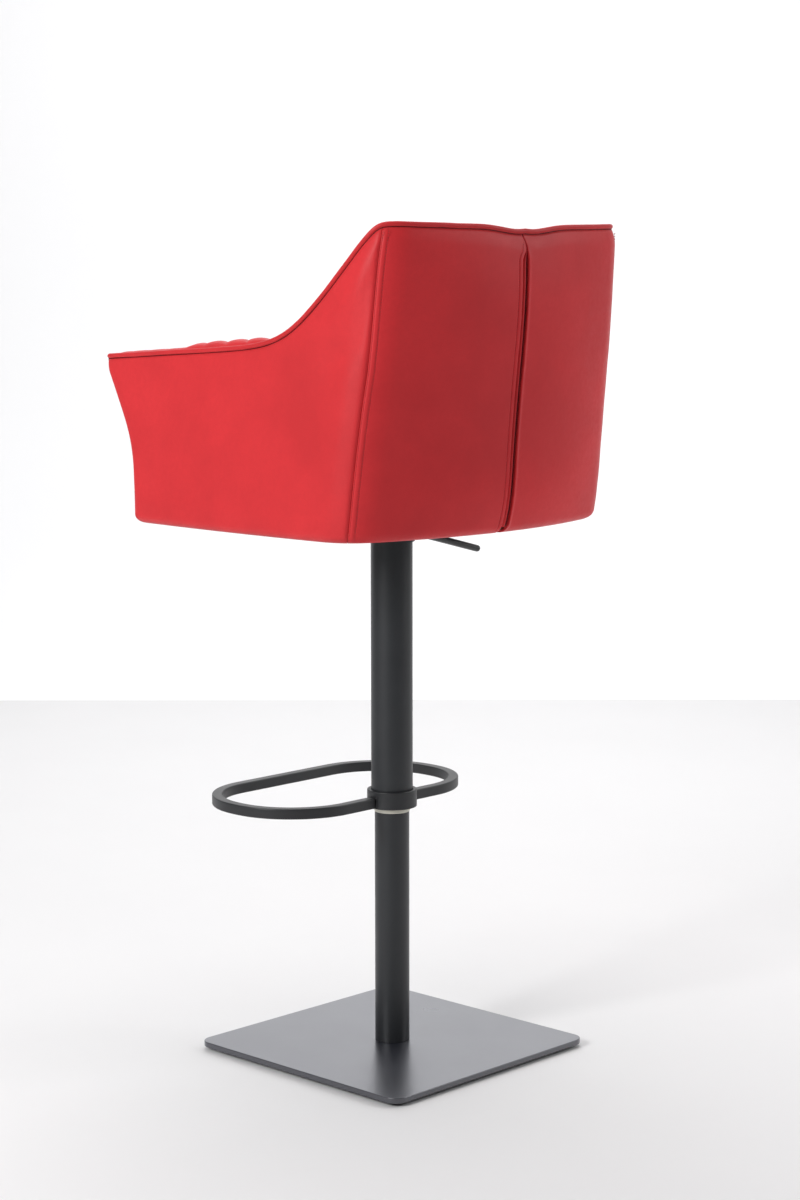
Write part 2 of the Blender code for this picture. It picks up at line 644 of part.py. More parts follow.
# The welt round the rim, from arm tip to arm tip.
welt = []
for section, u, sign in [(s, u, 1) for s, u in reversed(stations(BACK, SIDE, (8, 6, 16)))] + [(s, u, -1) for s, u in stations(BACK, SIDE, (8, 6, 16))[1:]]:
    z = rim_at(section, u)
    p = plan(section, u, z, 0.0048)
    welt.append((sign * p.x, p.y, z + 0.0010 * rise(section, u)))
tube("piping", welt, 0.0040, red("piping_leather", 0.8), res=2)

# A zip tape behind the open seam in the middle of the back.
tape_rings = []
for i in range(13):
    z = 0.7800 + (1.1600 - 0.7800) * i / 12
    y = plan(BACK, 0.0, z, 0.0).y
    deep = 0.0
    tape_rings.append([(0.0011, y - 0.0005, z), (-0.0011, y - 0.0005, z), (-0.0011, y - 0.0028, z), (0.0011, y - 0.0028, z)])
loft("zip_tape", tape_rings, paint("zip_red", (0.20, 0.01, 0.012), 0.7))

# Movers take their joint's place as origin.
bpy.context.view_layer.update()
lever.data.transform(Matrix.Translation(-PIVOT))
lever.parent = lever_axis
eye_mod = lever.modifiers.new("eye", "BOOLEAN")
eye_mod.operation = "DIFFERENCE"
eye_mod.solver = "EXACT"
eye_mod.object = hide(eye)
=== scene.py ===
import math

import bmesh
import bpy
from mathutils import Matrix, Vector, noise


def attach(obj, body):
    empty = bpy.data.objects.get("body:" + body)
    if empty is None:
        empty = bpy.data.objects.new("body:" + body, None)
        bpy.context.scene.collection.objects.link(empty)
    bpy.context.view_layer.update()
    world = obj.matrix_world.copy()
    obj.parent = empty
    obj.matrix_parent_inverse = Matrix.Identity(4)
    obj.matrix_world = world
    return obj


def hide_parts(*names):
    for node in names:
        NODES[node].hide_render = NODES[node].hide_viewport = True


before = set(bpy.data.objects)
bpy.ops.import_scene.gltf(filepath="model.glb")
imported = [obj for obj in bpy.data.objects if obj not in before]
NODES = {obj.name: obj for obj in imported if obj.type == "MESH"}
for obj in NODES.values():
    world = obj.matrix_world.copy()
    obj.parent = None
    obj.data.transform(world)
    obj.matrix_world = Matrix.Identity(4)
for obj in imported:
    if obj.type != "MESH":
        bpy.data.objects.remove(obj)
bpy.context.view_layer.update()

COLLECTION = bpy.context.scene.collection


# ================================================================ materials
def new_material(name):
    mat = bpy.data.materials.new(name)
    mat.use_nodes = True
    tree = mat.node_tree
    shader = tree.nodes["Principled BSDF"]
    coord = tree.nodes.new("ShaderNodeTexCoord")
    return mat, tree, shader, coord.outputs["Object"]


def tex_noise(tree, vec, scale, detail=2.0, rough=0.5, distort=0.0):
    node = tree.nodes.new("ShaderNodeTexNoise")
    node.inputs["Scale"].default_value = scale
    node.inputs["Detail"].default_value = detail
    node.inputs["Roughness"].default_value = rough
    node.inputs["Distortion"].default_value = distort
    tree.links.new(vec, node.inputs["Vector"])
    return node.outputs["Fac"]


def tex_voronoi(tree, vec, scale, feature="F1", random=1.0):
    node = tree.nodes.new("ShaderNodeTexVoronoi")
    node.feature = feature
    node.inputs["Scale"].default_value = scale
    node.inputs["Randomness"].default_value = random
    tree.links.new(vec, node.inputs["Vector"])
    return node.outputs["Distance"]


def tex_wave(tree, vec, scale, axis="X", distort=0.0, detail=1.0, detail_scale=1.0):
    node = tree.nodes.new("ShaderNodeTexWave")
    node.bands_direction = axis
    node.inputs["Scale"].default_value = scale
    node.inputs["Distortion"].default_value = distort
    node.inputs["Detail"].default_value = detail
    node.inputs["Detail Scale"].default_value = detail_scale
    tree.links.new(vec, node.inputs["Vector"])
    return node.outputs["Fac"]


def stretch(tree, vec, scale):
    node = tree.nodes.new("ShaderNodeMapping")
    node.inputs["Scale"].default_value = scale
    tree.links.new(vec, node.inputs["Vector"])
    return node.outputs["Vector"]


def remap(tree, value, a, b, c, d):
    node = tree.nodes.new("ShaderNodeMapRange")
    for key, number in (("From Min", a), ("From Max", b), ("To Min", c), ("To Max", d)):
        node.inputs[key].default_value = number
    tree.links.new(value, node.inputs["Value"])
    return node.outputs["Result"]


def combine(tree, a, b, how="ADD", second=None):
    node = tree.nodes.new("ShaderNodeMath")
    node.operation = how
    tree.links.new(a, node.inputs[0])
    if b is None:
        node.inputs[1].default_value = second
    else:
        tree.links.new(b, node.inputs[1])
    return node.outputs[0]


def mix_colour(tree, factor, a, b, how="MIX"):
    node = tree.nodes.new("ShaderNodeMix")
    node.data_type = "RGBA"
    node.blend_type = how
    if isinstance(factor, float):
        node.inputs[0].default_value = factor
    else:
        tree.links.new(factor, node.inputs[0])
    for socket, value in ((node.inputs[6], a), (node.inputs[7], b)):
        if isinstance(value, tuple):
            socket.default_value = (*value, 1.0)
        else:
            tree.links.new(value, socket)
    return node.outputs[2]


def bump(tree, height, distance, strength=1.0, after=None):
    node = tree.nodes.new("ShaderNodeBump")
    node.inputs["Strength"].default_value = strength
    node.inputs["Distance"].default_value = distance
    tree.links.new(height, node.inputs["Height"])
    if after is not None:
        tree.links.new(after, node.inputs["Normal"])
    return node.outputs["Normal"]


def leather(name, colour, rough=0.43, grain=1.0, specular=0.15):
    """Coated upholstery leather: fine pebbles, soft pull wrinkles, a slight cloud in the colour and darker valleys."""
    mat, tree, shader, vec = new_material(name)
    link = tree.links.new
    cloud = tex_noise(tree, vec, 6.5, 3.0, 0.55)
    mottle = tex_noise(tree, vec, 140.0, 2.0, 0.5)
    pebble = tex_voronoi(tree, vec, 820.0, "SMOOTH_F1", 0.9)
    valley = tex_voronoi(tree, vec, 820.0, "DISTANCE_TO_EDGE", 0.9)
    fine = tex_noise(tree, vec, 2600.0, 1.0, 0.5)
    pull = tex_noise(tree, stretch(tree, vec, (1.0, 1.0, 0.45)), 46.0, 3.0, 0.5, 0.3)
    dark = tuple(c * 0.90 for c in colour)
    light = tuple(min(1.0, c * 1.06) for c in colour)
    base = mix_colour(tree, remap(tree, cloud, 0.35, 0.65, 0.0, 1.0), dark, light)
    base = mix_colour(tree, remap(tree, mottle, 0.3, 0.7, 0.0, 0.16), base, tuple(c * 0.80 for c in colour))
    base = mix_colour(tree, remap(tree, valley, 0.0, 0.10, 0.22 * grain, 0.0), base, tuple(c * 0.62 for c in colour))
    link(base, shader.inputs["Base Color"])
    link(remap(tree, mottle, 0.3, 0.7, rough - 0.035, rough + 0.045), shader.inputs["Roughness"])
    shader.inputs["Specular IOR Level"].default_value = specular
    soft = bump(tree, pull, 0.00055, 0.35)
    skin_bump = bump(tree, pebble, 0.00011 * grain, 0.55, soft)
    link(bump(tree, fine, 0.00002, 0.5, skin_bump), shader.inputs["Normal"])
    return mat


def powder(name, colour, rough=0.42, specular=0.5, peel=1.0, coat=0.0):
    """Powder-coated steel: fine orange peel, tiny specks and slightly uneven gloss."""
    mat, tree, shader, vec = new_material(name)
    link = tree.links.new
    peel_noise = tex_noise(tree, vec, 620.0, 3.0, 0.6)
    fine = tex_noise(tree, vec, 2300.0, 1.0, 0.5)
    cloud = tex_noise(tree, vec, 9.0, 3.0, 0.5)
    speck = remap(tree, tex_noise(tree, vec, 1500.0, 0.0, 0.5), 0.62, 0.78, 0.0, 0.35)
    base = mix_colour(tree, remap(tree, cloud, 0.3, 0.7, 0.0, 1.0), tuple(c * 0.90 for c in colour), tuple(c * 1.12 for c in colour))
    base = mix_colour(tree, speck, base, tuple(c * 1.9 for c in colour))
    link(base, shader.inputs["Base Color"])
    link(remap(tree, cloud, 0.3, 0.7, rough - 0.03, rough + 0.04), shader.inputs["Roughness"])
    shader.inputs["Specular IOR Level"].default_value = specular
    if coat:
        shader.inputs["Coat Weight"].default_value = coat
        shader.inputs["Coat Roughness"].default_value = rough
        shader.inputs["Coat Tint"].default_value = (0.93, 0.94, 1.0, 1.0)
    link(bump(tree, fine, 0.000012 * peel, 0.6, bump(tree, peel_noise, 0.00005 * peel, 0.6)), shader.inputs["Normal"])
    return mat


def steel(name, colour, rough=0.28, scratch=(1.0, 1.0, 30.0)):
    mat, tree, shader, vec = new_material(name)
    link = tree.links.new
    turned_marks = tex_noise(tree, stretch(tree, vec, scratch), 260.0, 3.0, 0.6)
    blotch = tex_noise(tree, vec, 90.0, 3.0, 0.6)
    base = mix_colour(tree, remap(tree, blotch, 0.3, 0.7, 0.0, 1.0), tuple(c * 0.86 for c in colour), colour)
    link(base, shader.inputs["Base Color"])
    link(remap(tree, turned_marks, 0.3, 0.7, rough - 0.07, rough + 0.10), shader.inputs["Roughness"])
    shader.inputs["Metallic"].default_value = 1.0
    link(bump(tree, turned_marks, 0.00002, 0.5), shader.inputs["Normal"])
    return mat


def moulded(name, colour, rough=0.5, grain=700.0, depth=0.00003, specular=0.45):
    """Moulded plastic or rubber with a light spark-eroded texture."""
    mat, tree, shader, vec = new_material(name)
    link = tree.links.new
    spark = tex_noise(tree, vec, grain, 2.0, 0.6)
    cloud = tex_noise(tree, vec, 30.0, 2.0, 0.5)
    base = mix_colour(tree, remap(tree, cloud, 0.3, 0.7, 0.0, 1.0), tuple(c * 0.92 for c in colour), tuple(min(1, c * 1.05) for c in colour))
    link(base, shader.inputs["Base Color"])
    link(remap(tree, spark, 0.3, 0.7, rough - 0.05, rough + 0.05), shader.inputs["Roughness"])
    shader.inputs["Specular IOR Level"].default_value = specular
    link(bump(tree, spark, depth, 0.6), shader.inputs["Normal"])
    return mat


def plywood(name, along=(1.0, 1.0, 14.0)):
    mat, tree, shader, vec = new_material(name)
    link = tree.links.new
    grain = tex_wave(tree, stretch(tree, vec, along), 9.0, "Z", 5.0, 3.0, 1.4)
    pores = tex_noise(tree, stretch(tree, vec, (60.0, 8.0, 60.0)), 14.0, 2.0, 0.6)
    base = mix_colour(tree, grain, (0.40, 0.25, 0.12), (0.60, 0.42, 0.23))
    base = mix_colour(tree, remap(tree, pores, 0.55, 0.75, 0.0, 0.5), base, (0.24, 0.14, 0.06))
    link(base, shader.inputs["Base Color"])
    shader.inputs["Roughness"].default_value = 0.68
    link(bump(tree, pores, 0.0002, 0.4), shader.inputs["Normal"])
    return mat


def woven(name, colour, pitch=1400.0, rough=0.85):
    """Close weave or spun-bonded cloth: two crossed waves with loose fibres."""
    mat, tree, shader, vec = new_material(name)
    link = tree.links.new
    warp = tex_wave(tree, vec, pitch / 6.2832, "X", 0.6, 1.0, 2.0)
    weft = tex_wave(tree, vec, pitch / 6.2832, "Y", 0.6, 1.0, 2.0)
    rise_ = tex_wave(tree, vec, pitch / 6.2832, "Z", 0.6, 1.0, 2.0)
    cloth = combine(tree, combine(tree, warp, weft, "MAXIMUM"), rise_, "MULTIPLY")
    fibre = tex_noise(tree, vec, 420.0, 4.0, 0.7, 1.2)
    base = mix_colour(tree, cloth, tuple(c * 0.55 for c in colour), colour)
    base = mix_colour(tree, remap(tree, fibre, 0.4, 0.7, 0.0, 0.5), base, tuple(min(1.0, c * 1.5) for c in colour))
    link(base, shader.inputs["Base Color"])
    shader.inputs["Roughness"].default_value = rough
    shader.inputs["Sheen Weight"].default_value = 0.15
    link(bump(tree, fibre, 0.0001, 0.5, bump(tree, cloth, 0.00012, 0.6)), shader.inputs["Normal"])
    return mat


RED = (0.648, 0.0355, 0.0415)
M_SHELL = leather("leather_red_shell", RED)
# Painted shade: the piping's leather is a darker copy of the shell's red, standing in for the piping's shaded look.
M_PIPE_SHADED = leather("leather_red_piping", tuple(c * 0.93 for c in RED), 0.40, 0.8)
M_PAD = leather("leather_red_pad", RED, 0.45, 1.1)
M_SEAM = leather("leather_red_fold", tuple(c * 0.60 for c in RED), 0.5, 1.0)
# Painted shade: a near-black red for the piping's flange, standing in for the shadow in the crevice under the piping.
M_FLANGE_SHADE = leather("leather_red_flange_painted_shade", (0.120, 0.008, 0.010), 0.6, 1.0, 0.15)
M_THREAD = moulded("thread_red", (0.42, 0.016, 0.020), 0.55, 2500.0, 0.00006)
M_TUBE = powder("powder_black_tube", (0.0205, 0.0225, 0.0255), 0.40)
M_PLATE = powder("powder_black_plate", (0.0225, 0.0235, 0.0300), 0.30, 1.0, 0.7, 0.9)
M_RING = powder("powder_black_ring", (0.0185, 0.0195, 0.0215), 0.42)
M_BLACK = moulded("plastic_black", (0.018, 0.018, 0.019), 0.5)
M_RUBBER = moulded("rubber_black", (0.012, 0.012, 0.012), 0.72, 900.0, 0.00005, 0.3)
M_NYLON = moulded("nylon_cream", (0.70, 0.68, 0.585), 0.42, 600.0, 0.00002)
M_ZINC = steel("zinc_plate", (0.62, 0.62, 0.60), 0.30)
M_CHROME = steel("chrome_rod", (0.78, 0.78, 0.79), 0.12)
M_BRASS = steel("brass_cage", (0.66, 0.50, 0.20), 0.28)
M_LEVER = powder("lever_black", (0.0175, 0.0175, 0.0190), 0.36)
M_PLY = plywood("plywood_bent")
M_BOARD = plywood("plywood_board", (1.0, 14.0, 1.0))
M_DUST = woven("dust_cloth_black", (0.020, 0.020, 0.021))
M_ZIP = woven("zip_tape_red", (0.115, 0.006, 0.008), 2600.0)


# ================================================================ mesh helpers
def link_mesh(name, verts, faces, mat, smooth_faces=True):
    mesh = bpy.data.meshes.new(name)
    mesh.from_pydata([tuple(v) for v in verts], [], faces)
    bm = bmesh.new()
    bm.from_mesh(mesh)
    bmesh.ops.recalc_face_normals(bm, faces=bm.faces)
    for face in bm.faces:
        face.smooth = smooth_faces
    bm.to_mesh(mesh)
    bm.free()
    obj = bpy.data.objects.new(name, mesh)
    COLLECTION.objects.link(obj)
    mesh.materials.append(mat)
    return obj


def weighted(obj):
    mod = obj.modifiers.new("normals", "WEIGHTED_NORMAL")
    mod.weight = 60
    mod.keep_sharp = True
    return obj


def piece(obj, body, replaced=()):
    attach(obj, body)
    if replaced:
        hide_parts(*replaced)
    return obj


def skin(name, columns, mat):
    """A closed leather skin: each column is (outer points, inner points), and both walls, all edges and both ends are meshed."""
    m = len(columns[0][0])
    verts, faces = [], []
    for outer, inner in columns:
        verts += list(outer) + list(inner)
    wide = 2 * m

    def at(i, j, inside=False):
        return i * wide + j + (m if inside else 0)

    for i in range(len(columns) - 1):
        for j in range(m - 1):
            faces.append((at(i, j), at(i + 1, j), at(i + 1, j + 1), at(i, j + 1)))
            faces.append((at(i, j, True), at(i, j + 1, True), at(i + 1, j + 1, True), at(i + 1, j, True)))
        for j in (0, m - 1):
            faces.append((at(i, j), at(i, j, True), at(i + 1, j, True), at(i + 1, j)))
    for i in (0, len(columns) - 1):
        for j in range(m - 1):
            faces.append((at(i, j), at(i, j + 1), at(i, j + 1, True), at(i, j, True)))
    return link_mesh(name, verts, faces, mat)


def loops(name, rings, mat, closed=False, cap=True):
    """A closed solid through rings of equal length; a ring's last point joins its first."""
    n = len(rings[0])
    verts = [v for ring in rings for v in ring]
    faces = []
    last = len(rings) if closed else len(rings) - 1
    for i in range(last):
        a, b = i * n, ((i + 1) % len(rings)) * n
        for j in range(n):
            faces.append((a + j, a + (j + 1) % n, b + (j + 1) % n, b + j))
    if cap and not closed:
        faces.append(tuple(range(n)))
        faces.append(tuple(range((len(rings) - 1) * n, len(rings) * n)))
    return link_mesh(name, verts, faces, mat)


def fillet(points, radii, n=5):
    """A closed 2-D outline with each corner rounded."""
    out = []
    count = len(points)
    for i, p in enumerate(points):
        p = Vector(p)
        r = radii[i] if isinstance(radii, (list, tuple)) else radii
        a, b = Vector(points[i - 1]) - p, Vector(points[(i + 1) % count]) - p
        if r <= 0:
            out.append(p)
            continue
        la, lb = a.length, b.length
        a.normalize()
        b.normalize()
        angle = math.acos(max(-1.0, min(1.0, a.dot(b))))
        if abs(angle - math.pi) < 1e-3:
            out.append(p)
            continue
        reach = min(r / math.tan(angle / 2), 0.49 * la, 0.49 * lb)
        start, end = p + a * reach, p + b * reach
        for k in range(n + 1):
            t = k / n
            out.append(start * (1 - t) ** 2 + p * 2 * t * (1 - t) + end * t**2)
    return out


def lathe(name, profile, mat, steps=96, at=(0.0, 0.0), radius=0.0006, n=4):
    """A closed profile of (radius, height) points turned about Z, with its corners rounded."""
    loop = fillet([(max(r, 1e-5), z) for r, z in profile], radius, n) if radius else [Vector(p) for p in profile]
    rings = []
    for k in range(steps):
        a = 2 * math.pi * k / steps
        rings.append([Vector((at[0] + p.x * math.cos(a), at[1] + p.x * math.sin(a), p.y)) for p in loop])
    return weighted(loops(name, rings, mat, closed=True))


def sweep(name, path, section, mat, closed=False, flat=None):
    """A section of (across, up) points carried along a path. Up stays as near +Z as it can, unless flat gives its own ups."""
    rings = []
    count = len(path)
    for i, p in enumerate(path):
        before = path[i - 1] if (i > 0 or closed) else p
        after = path[(i + 1) % count] if (i < count - 1 or closed) else p
        run = (after - before).normalized()
        up = flat[i] if flat else Vector((0, 0, 1))
        across = run.cross(up).normalized()
        up = across.cross(run).normalized()
        rings.append([p + across * a + up * b for a, b in (section(i / max(1, count - 1)) if callable(section) else section)])
    return loops(name, rings, mat, closed=closed)


def circle(radius, n=16):
    return [(radius * math.cos(2 * math.pi * k / n), radius * math.sin(2 * math.pi * k / n)) for k in range(n)]


def even(points, step):
    """The same path with its points a fixed step apart."""
    lengths = [0.0]
    for a, b in zip(points, points[1:]):
        lengths.append(lengths[-1] + (b - a).length)
    count = max(2, int(round(lengths[-1] / step)))
    out, k = [], 0
    for i in range(count + 1):
        want = lengths[-1] * i / count
        while k < len(points) - 2 and lengths[k + 1] < want:
            k += 1
        t = (want - lengths[k]) / max(1e-9, lengths[k + 1] - lengths[k])
        out.append(points[k].lerp(points[k + 1], min(1.0, max(0.0, t))))
    return out


def stitches(name, path, normals, mat, pitch=0.0040, length=0.0029, thick=0.00042, sink=0.0001):
    """A row of thread: each stitch a small rounded bead that lies along the path, sunk at its ends."""
    spots = even(path, pitch)
    source = even(normals, 1e9) if len(normals) < 2 else normals
    verts, faces = [], []
    for i in range(len(spots) - 1):
        middle = (spots[i] + spots[i + 1]) / 2
        run = (spots[i + 1] - spots[i]).normalized()
        normal = source[min(len(source) - 1, int((i + 0.5) / (len(spots) - 1) * len(source)))]
        normal = (normal - run * normal.dot(run)).normalized()
        side = run.cross(normal)
        start = len(verts)
        rows = ((-0.5, 0.25, -0.9), (-0.42, 0.75, -0.25), (-0.2, 1.0, 0.25), (0.2, 1.0, 0.25), (0.42, 0.75, -0.25), (0.5, 0.25, -0.9))
        for along, fat, lift in rows:
            centre = middle + run * (along * length) + normal * (lift * thick - sink)
            for k in range(6):
                a = math.pi * 2 * k / 6
                verts.append(centre + side * (math.cos(a) * thick * fat) + normal * (math.sin(a) * thick * fat))
        for r in range(len(rows) - 1):
            for k in range(6):
                faces.append((start + r * 6 + k, start + r * 6 + (k + 1) % 6, start + (r + 1) * 6 + (k + 1) % 6, start + (r + 1) * 6 + k))
        faces.append(tuple(start + k for k in range(6)))
        faces.append(tuple(start + (len(rows) - 1) * 6 + k for k in range(6)))
    return link_mesh(name, verts, faces, mat)


# ================================================================ the tub's form, as in the CAD
def smooth(x):
    x = min(1.0, max(0.0, x))
    return x * x * (3 - 2 * x)


def half_width(z):
    return 0.2515 - 0.0165 * max(0.0, (z - 0.83) / 0.33) ** 1.3


def corner_back(z):
    return 0.1583 + 0.129 * (z - 0.77)


def mid_back(z):
    return 0.2140 + 0.0215 * (1 - math.exp(-(z - 0.77) / 0.05)) + 0.0190 * smooth((z - 0.86) / 0.27)


def front(z):
    return 0.2675 + 0.0112 * math.log1p(math.exp((z - 0.878) / 0.02))


def slope(y):
    """Height of the arms, and of the slope that climbs from them to the back."""
    return 1.0053 + 0.06 * (y + 0.333) + 0.98 * 0.028 * math.log1p(math.exp((y - 0.0562) / 0.028))


def rim(x, y):
    ramp = slope(y)
    crest = 1.1850 + 0.0025 * (min(abs(x), 0.22) / 0.22) ** 2 - 0.0062 * math.exp(-(((x - 0.016) / 0.044) ** 2))
    k = 0.004
    low = min(ramp, crest)
    return low - k * math.log(math.exp(-(ramp - low) / k) + math.exp(-(crest - low) / k))


BACK, TURN, SIDE, NOSE, RETURN = 0, 1, 2, 3, 4
SHELL_LOW = 0.771


def plan(section, u, z, inset=0.0, turn=0.042, flange=0.038, nose=0.010):
    wide = half_width(z) + 0.010 - inset
    back = corner_back(z) + 0.010 - inset
    mid = mid_back(z) - inset
    fore = front(z) - inset
    fore_wide = half_width(z) + 0.002 - inset

    def on_back(x):
        return Vector((x, mid - (mid - back) * (x / wide) ** 2))

    def on_side(v):
        y = back + (-fore - back) * v
        x = wide + (fore_wide - wide) * v + 0.007 * 4 * v * (1 - v)
        return Vector((x, y))

    def bend(a, b, c, t):
        return a * (1 - t) ** 2 + b * 2 * t * (1 - t) + c * t**2

    length = back + fore
    if section == BACK:
        return on_back((wide - turn) * u)
    if section == TURN:
        return bend(on_back(wide - turn), Vector((wide, back)), on_side(turn / length), u)
    if section == SIDE:
        return on_side(turn / length + (1 - (turn + nose) / length) * u)
    tip = on_side(1.0)
    if section == NOSE:
        return bend(on_side(1 - nose / length), tip, tip + Vector((-nose, 0)), u)
    return tip + Vector((-nose - (flange - nose) * u, 0))


def rim_at(section, u, inset=0.0, **shape):
    z = 1.1
    for _ in range(28):
        q = plan(section, u, z)
        z = 0.5 * z + 0.5 * rim(q.x, q.y)
    return z


def rise(section, u):
    a, b = max(0.0, u - 0.01), min(1.0, u + 0.01)
    za, zb = rim_at(section, a), rim_at(section, b)
    run = (plan(section, a, za) - plan(section, b, zb)).length
    return math.sqrt(1 + ((zb - za) / max(run, 1e-6)) ** 2)


def on_shell(section, u, z, out=0.0, side=1):
    p = plan(section, u, z, -out)
    return Vector((side * p.x, p.y, z))


def shell_normal(section, u, z, side=1):
    a, b = max(0.0, u - 0.01), min(1.0, u + 0.01)
    along = on_shell(section, b, z, 0, side) - on_shell(section, a, z, 0, side)
    up = on_shell(section, u, z + 0.004, 0, side) - on_shell(section, u, z - 0.004, 0, side)
    normal = along.cross(up).normalized()
    outward = on_shell(section, u, z, 0.002, side) - on_shell(section, u, z, 0, side)
    return normal if normal.dot(outward) > 0 else -normal


SPAN0 = half_width(0.771) + 0.010 - 0.042


def back_u(x, z):
    """u on the back for a line that keeps its distance x from the middle near the middle, and spreads with the back further out."""
    span = half_width(z) + 0.010 - 0.042
    return (x + x * (span / SPAN0 - 1) * smooth(x / 0.06)) / span


ARC = 0.066                         # length of the corner from u = 0 to 1
ROWS = 0.128                        # from the corner seam's folded edge to its second stitch row


def lap(z):
    """Where the corner seam's folded edge runs, as u on the corner."""
    return 0.494 + 0.046 * smooth((z - 1.03) / 0.12) - 0.018 * math.exp(-(((z - 1.0) / 0.04) ** 2))


def slot_open(z):
    return smooth((1.1575 - z) / 0.016)


def ripple(p, seed, coarse=0.0007, fine=0.00022):
    q = Vector((p.x, p.y, p.z))
    return coarse * noise.noise(q * 8.0 + Vector((seed, 0, 0))) + fine * noise.noise(q * 26.0 + Vector((0, seed, 0)))


def column(section_at, top_section, side, offset, depth=0.0, rows=64, top_drop=0.0038, top_tuck=0.0036, under=0.0198):
    """One column of a cover: under the hem, round the foot, up the wall and in under the welt.
    section_at(z) gives (section, u), offset(section, u, z, h) how far the skin stands out, and depth how far its edge is folded in."""
    s, u = top_section
    lift = rise(s, u)
    top = rim_at(s, u) - top_drop * lift
    r = 0.0120
    outer, inner = [], []

    def add(z, inset, inner_z, inner_inset, free=1.0):
        sec, uu = section_at(z)
        out = offset(sec, uu, z, (top - z) / lift) * free
        p = plan(sec, uu, z, inset + depth - out)
        q = plan(sec, uu, inner_z, max(inner_inset, inset + depth - out + 0.0004))
        outer.append(Vector((side * p.x, p.y, z)))
        inner.append(Vector((side * q.x, q.y, inner_z)))

    for inset in (under, 0.0165, 0.0138):
        add(SHELL_LOW + 0.0001, inset, SHELL_LOW + 0.0028, inset, 0.0)
    for k in range(9):
        a = math.pi / 2 * k / 8
        z = SHELL_LOW + r * (1 - math.cos(a))
        inset = r * (1 - math.sin(a))
        ri = r - 0.0030
        add(z, inset, SHELL_LOW + 0.0030 + ri * (1 - math.cos(a)), 0.0033 + ri * (1 - math.sin(a)), k / 8)
    low, high = SHELL_LOW + r, top - 0.022 * lift
    for k in range(1, rows + 1):
        z = low + (high - low) * k / rows
        add(z, 0.0, z, 0.0033)
    for k in range(1, 9):
        t = k / 8
        z = high + (top - high) * t
        add(z, top_tuck * t * t, z, 0.0033 + min(top_tuck, 0.0034) * t * t, 1 - 0.6 * t)
    return outer, inner


# ================================================================ covers
def near(a, b, width):
    return math.exp(-(((a - b) / width) ** 2))


def side_offset(seed):
    def offset(section, u, z, h):
        p = plan(section, u, z)
        out = ripple(Vector((p.x, p.y, z)), seed)
        if section == TURN:
            d = (u - lap(z)) * ARC
            out -= 0.0010 * math.exp(-((max(0.0, d) / 0.0022) ** 2))
            out += 0.0004 * near(d, 0.0065, 0.004)
        if section == SIDE:
            # The leather hollows a little behind the arm and fills out along the foot.
            out += 0.0006 * near(z, 0.800, 0.016)
        # The leather hollows at the top rear corner, a hand's width below the welt.
        behind = smooth((u - lap(z)) / 0.35) if section == TURN else near(u, 0.0, 0.13) if section == SIDE else 0.0
        out += (0.0016 * near(h, 0.032, 0.017) - 0.0022 * near(h, 0.086, 0.027)) * behind
        # Small gathers under the welt.
        gather = math.sin(46.0 * (p.x - p.y) + 3.0 * noise.noise(Vector((p.x * 9, p.y * 9, seed))))
        out += 0.00022 * gather * math.exp(-((h / 0.018) ** 2))
        wave = noise.noise(Vector((p.x * 17, p.y * 17, seed * 3.1)))
        out += 0.0007 * wave * near(z, 0.786, 0.010)
        return out

    return offset


def back_offset(seed, raised):
    def offset(section, u, z, h):
        p = plan(section, u, z)
        out = ripple(Vector((p.x, p.y, z)), seed)
        if section == TURN:
            d = (lap(z) - u) * ARC
            out += 0.0004 * smooth((0.0105 - d) / 0.0030)
            out -= 0.0005 * near(d, 0.0016, 0.0007)
            out -= 0.0004 * near(d, ROWS * ARC, 0.0009)
            out += 0.0003 * near(d, 0.0050, 0.0022)
        if section == BACK:
            x = abs(p.x)
            opened = slot_open(z)
            if raised:
                out += 0.0024 * math.exp(-((x / 0.0052) ** 2)) * opened
            else:
                row = x - 0.0084 * opened
                out -= 0.00055 * near(row, 0.0083, 0.0008)
                out += 0.00060 * near(row, 0.0045, 0.0028) * opened
                out -= 0.0009 * near(z, 1.158, 0.006) * near(x, 0.0, 0.010)
            out -= 0.0010 * near(z, 1.166, 0.010) * near(x, 0.0, 0.010)
        gather = math.sin(40.0 * p.x + 2.5 * noise.noise(Vector((p.x * 9, 0, seed))))
        out += 0.00025 * gather * math.exp(-((h / 0.016) ** 2))
        wave = noise.noise(Vector((p.x * 19, 0, seed * 2.3)))
        out += 0.0009 * wave * near(z, 0.785, 0.010)
        return out

    return offset


SHELL_TURN_STEPS = [0.004, 0.010, 0.020, 0.034, 0.052, 0.075, 0.11, 0.15, 0.20, 0.26, 0.32, 0.38]
TOP_LAP = lap(1.17)


def past_lap(z, d):
    return lap(z) + d * (1 - lap(z)) / 0.436


def before_lap(z, d):
    return lap(z) - d * lap(z) / 0.564


for label, side in (("left", 1), ("right", -1)):
    stops = [(SIDE, i / 72) for i in range(73)]
    stops += [(NOSE, i / 8) for i in range(1, 9)]
    stops += [(RETURN, i / 6) for i in range(1, 7)]
    offset = side_offset(3.7 if side > 0 else 8.2)
    columns = []
    for d in SHELL_TURN_STEPS:
        columns.append(column(lambda z, d=d: (TURN, past_lap(z, d)), (TURN, past_lap(1.17, d)), side, offset))
    for s, u in stops:
        columns.append(column(lambda z, s=s, u=u: (s, u), (s, u), side, offset))
    cover = skin(f"side_leather_{label}", columns, M_SHELL)
    piece(cover, "seat", (f"side_cover_{label}",))

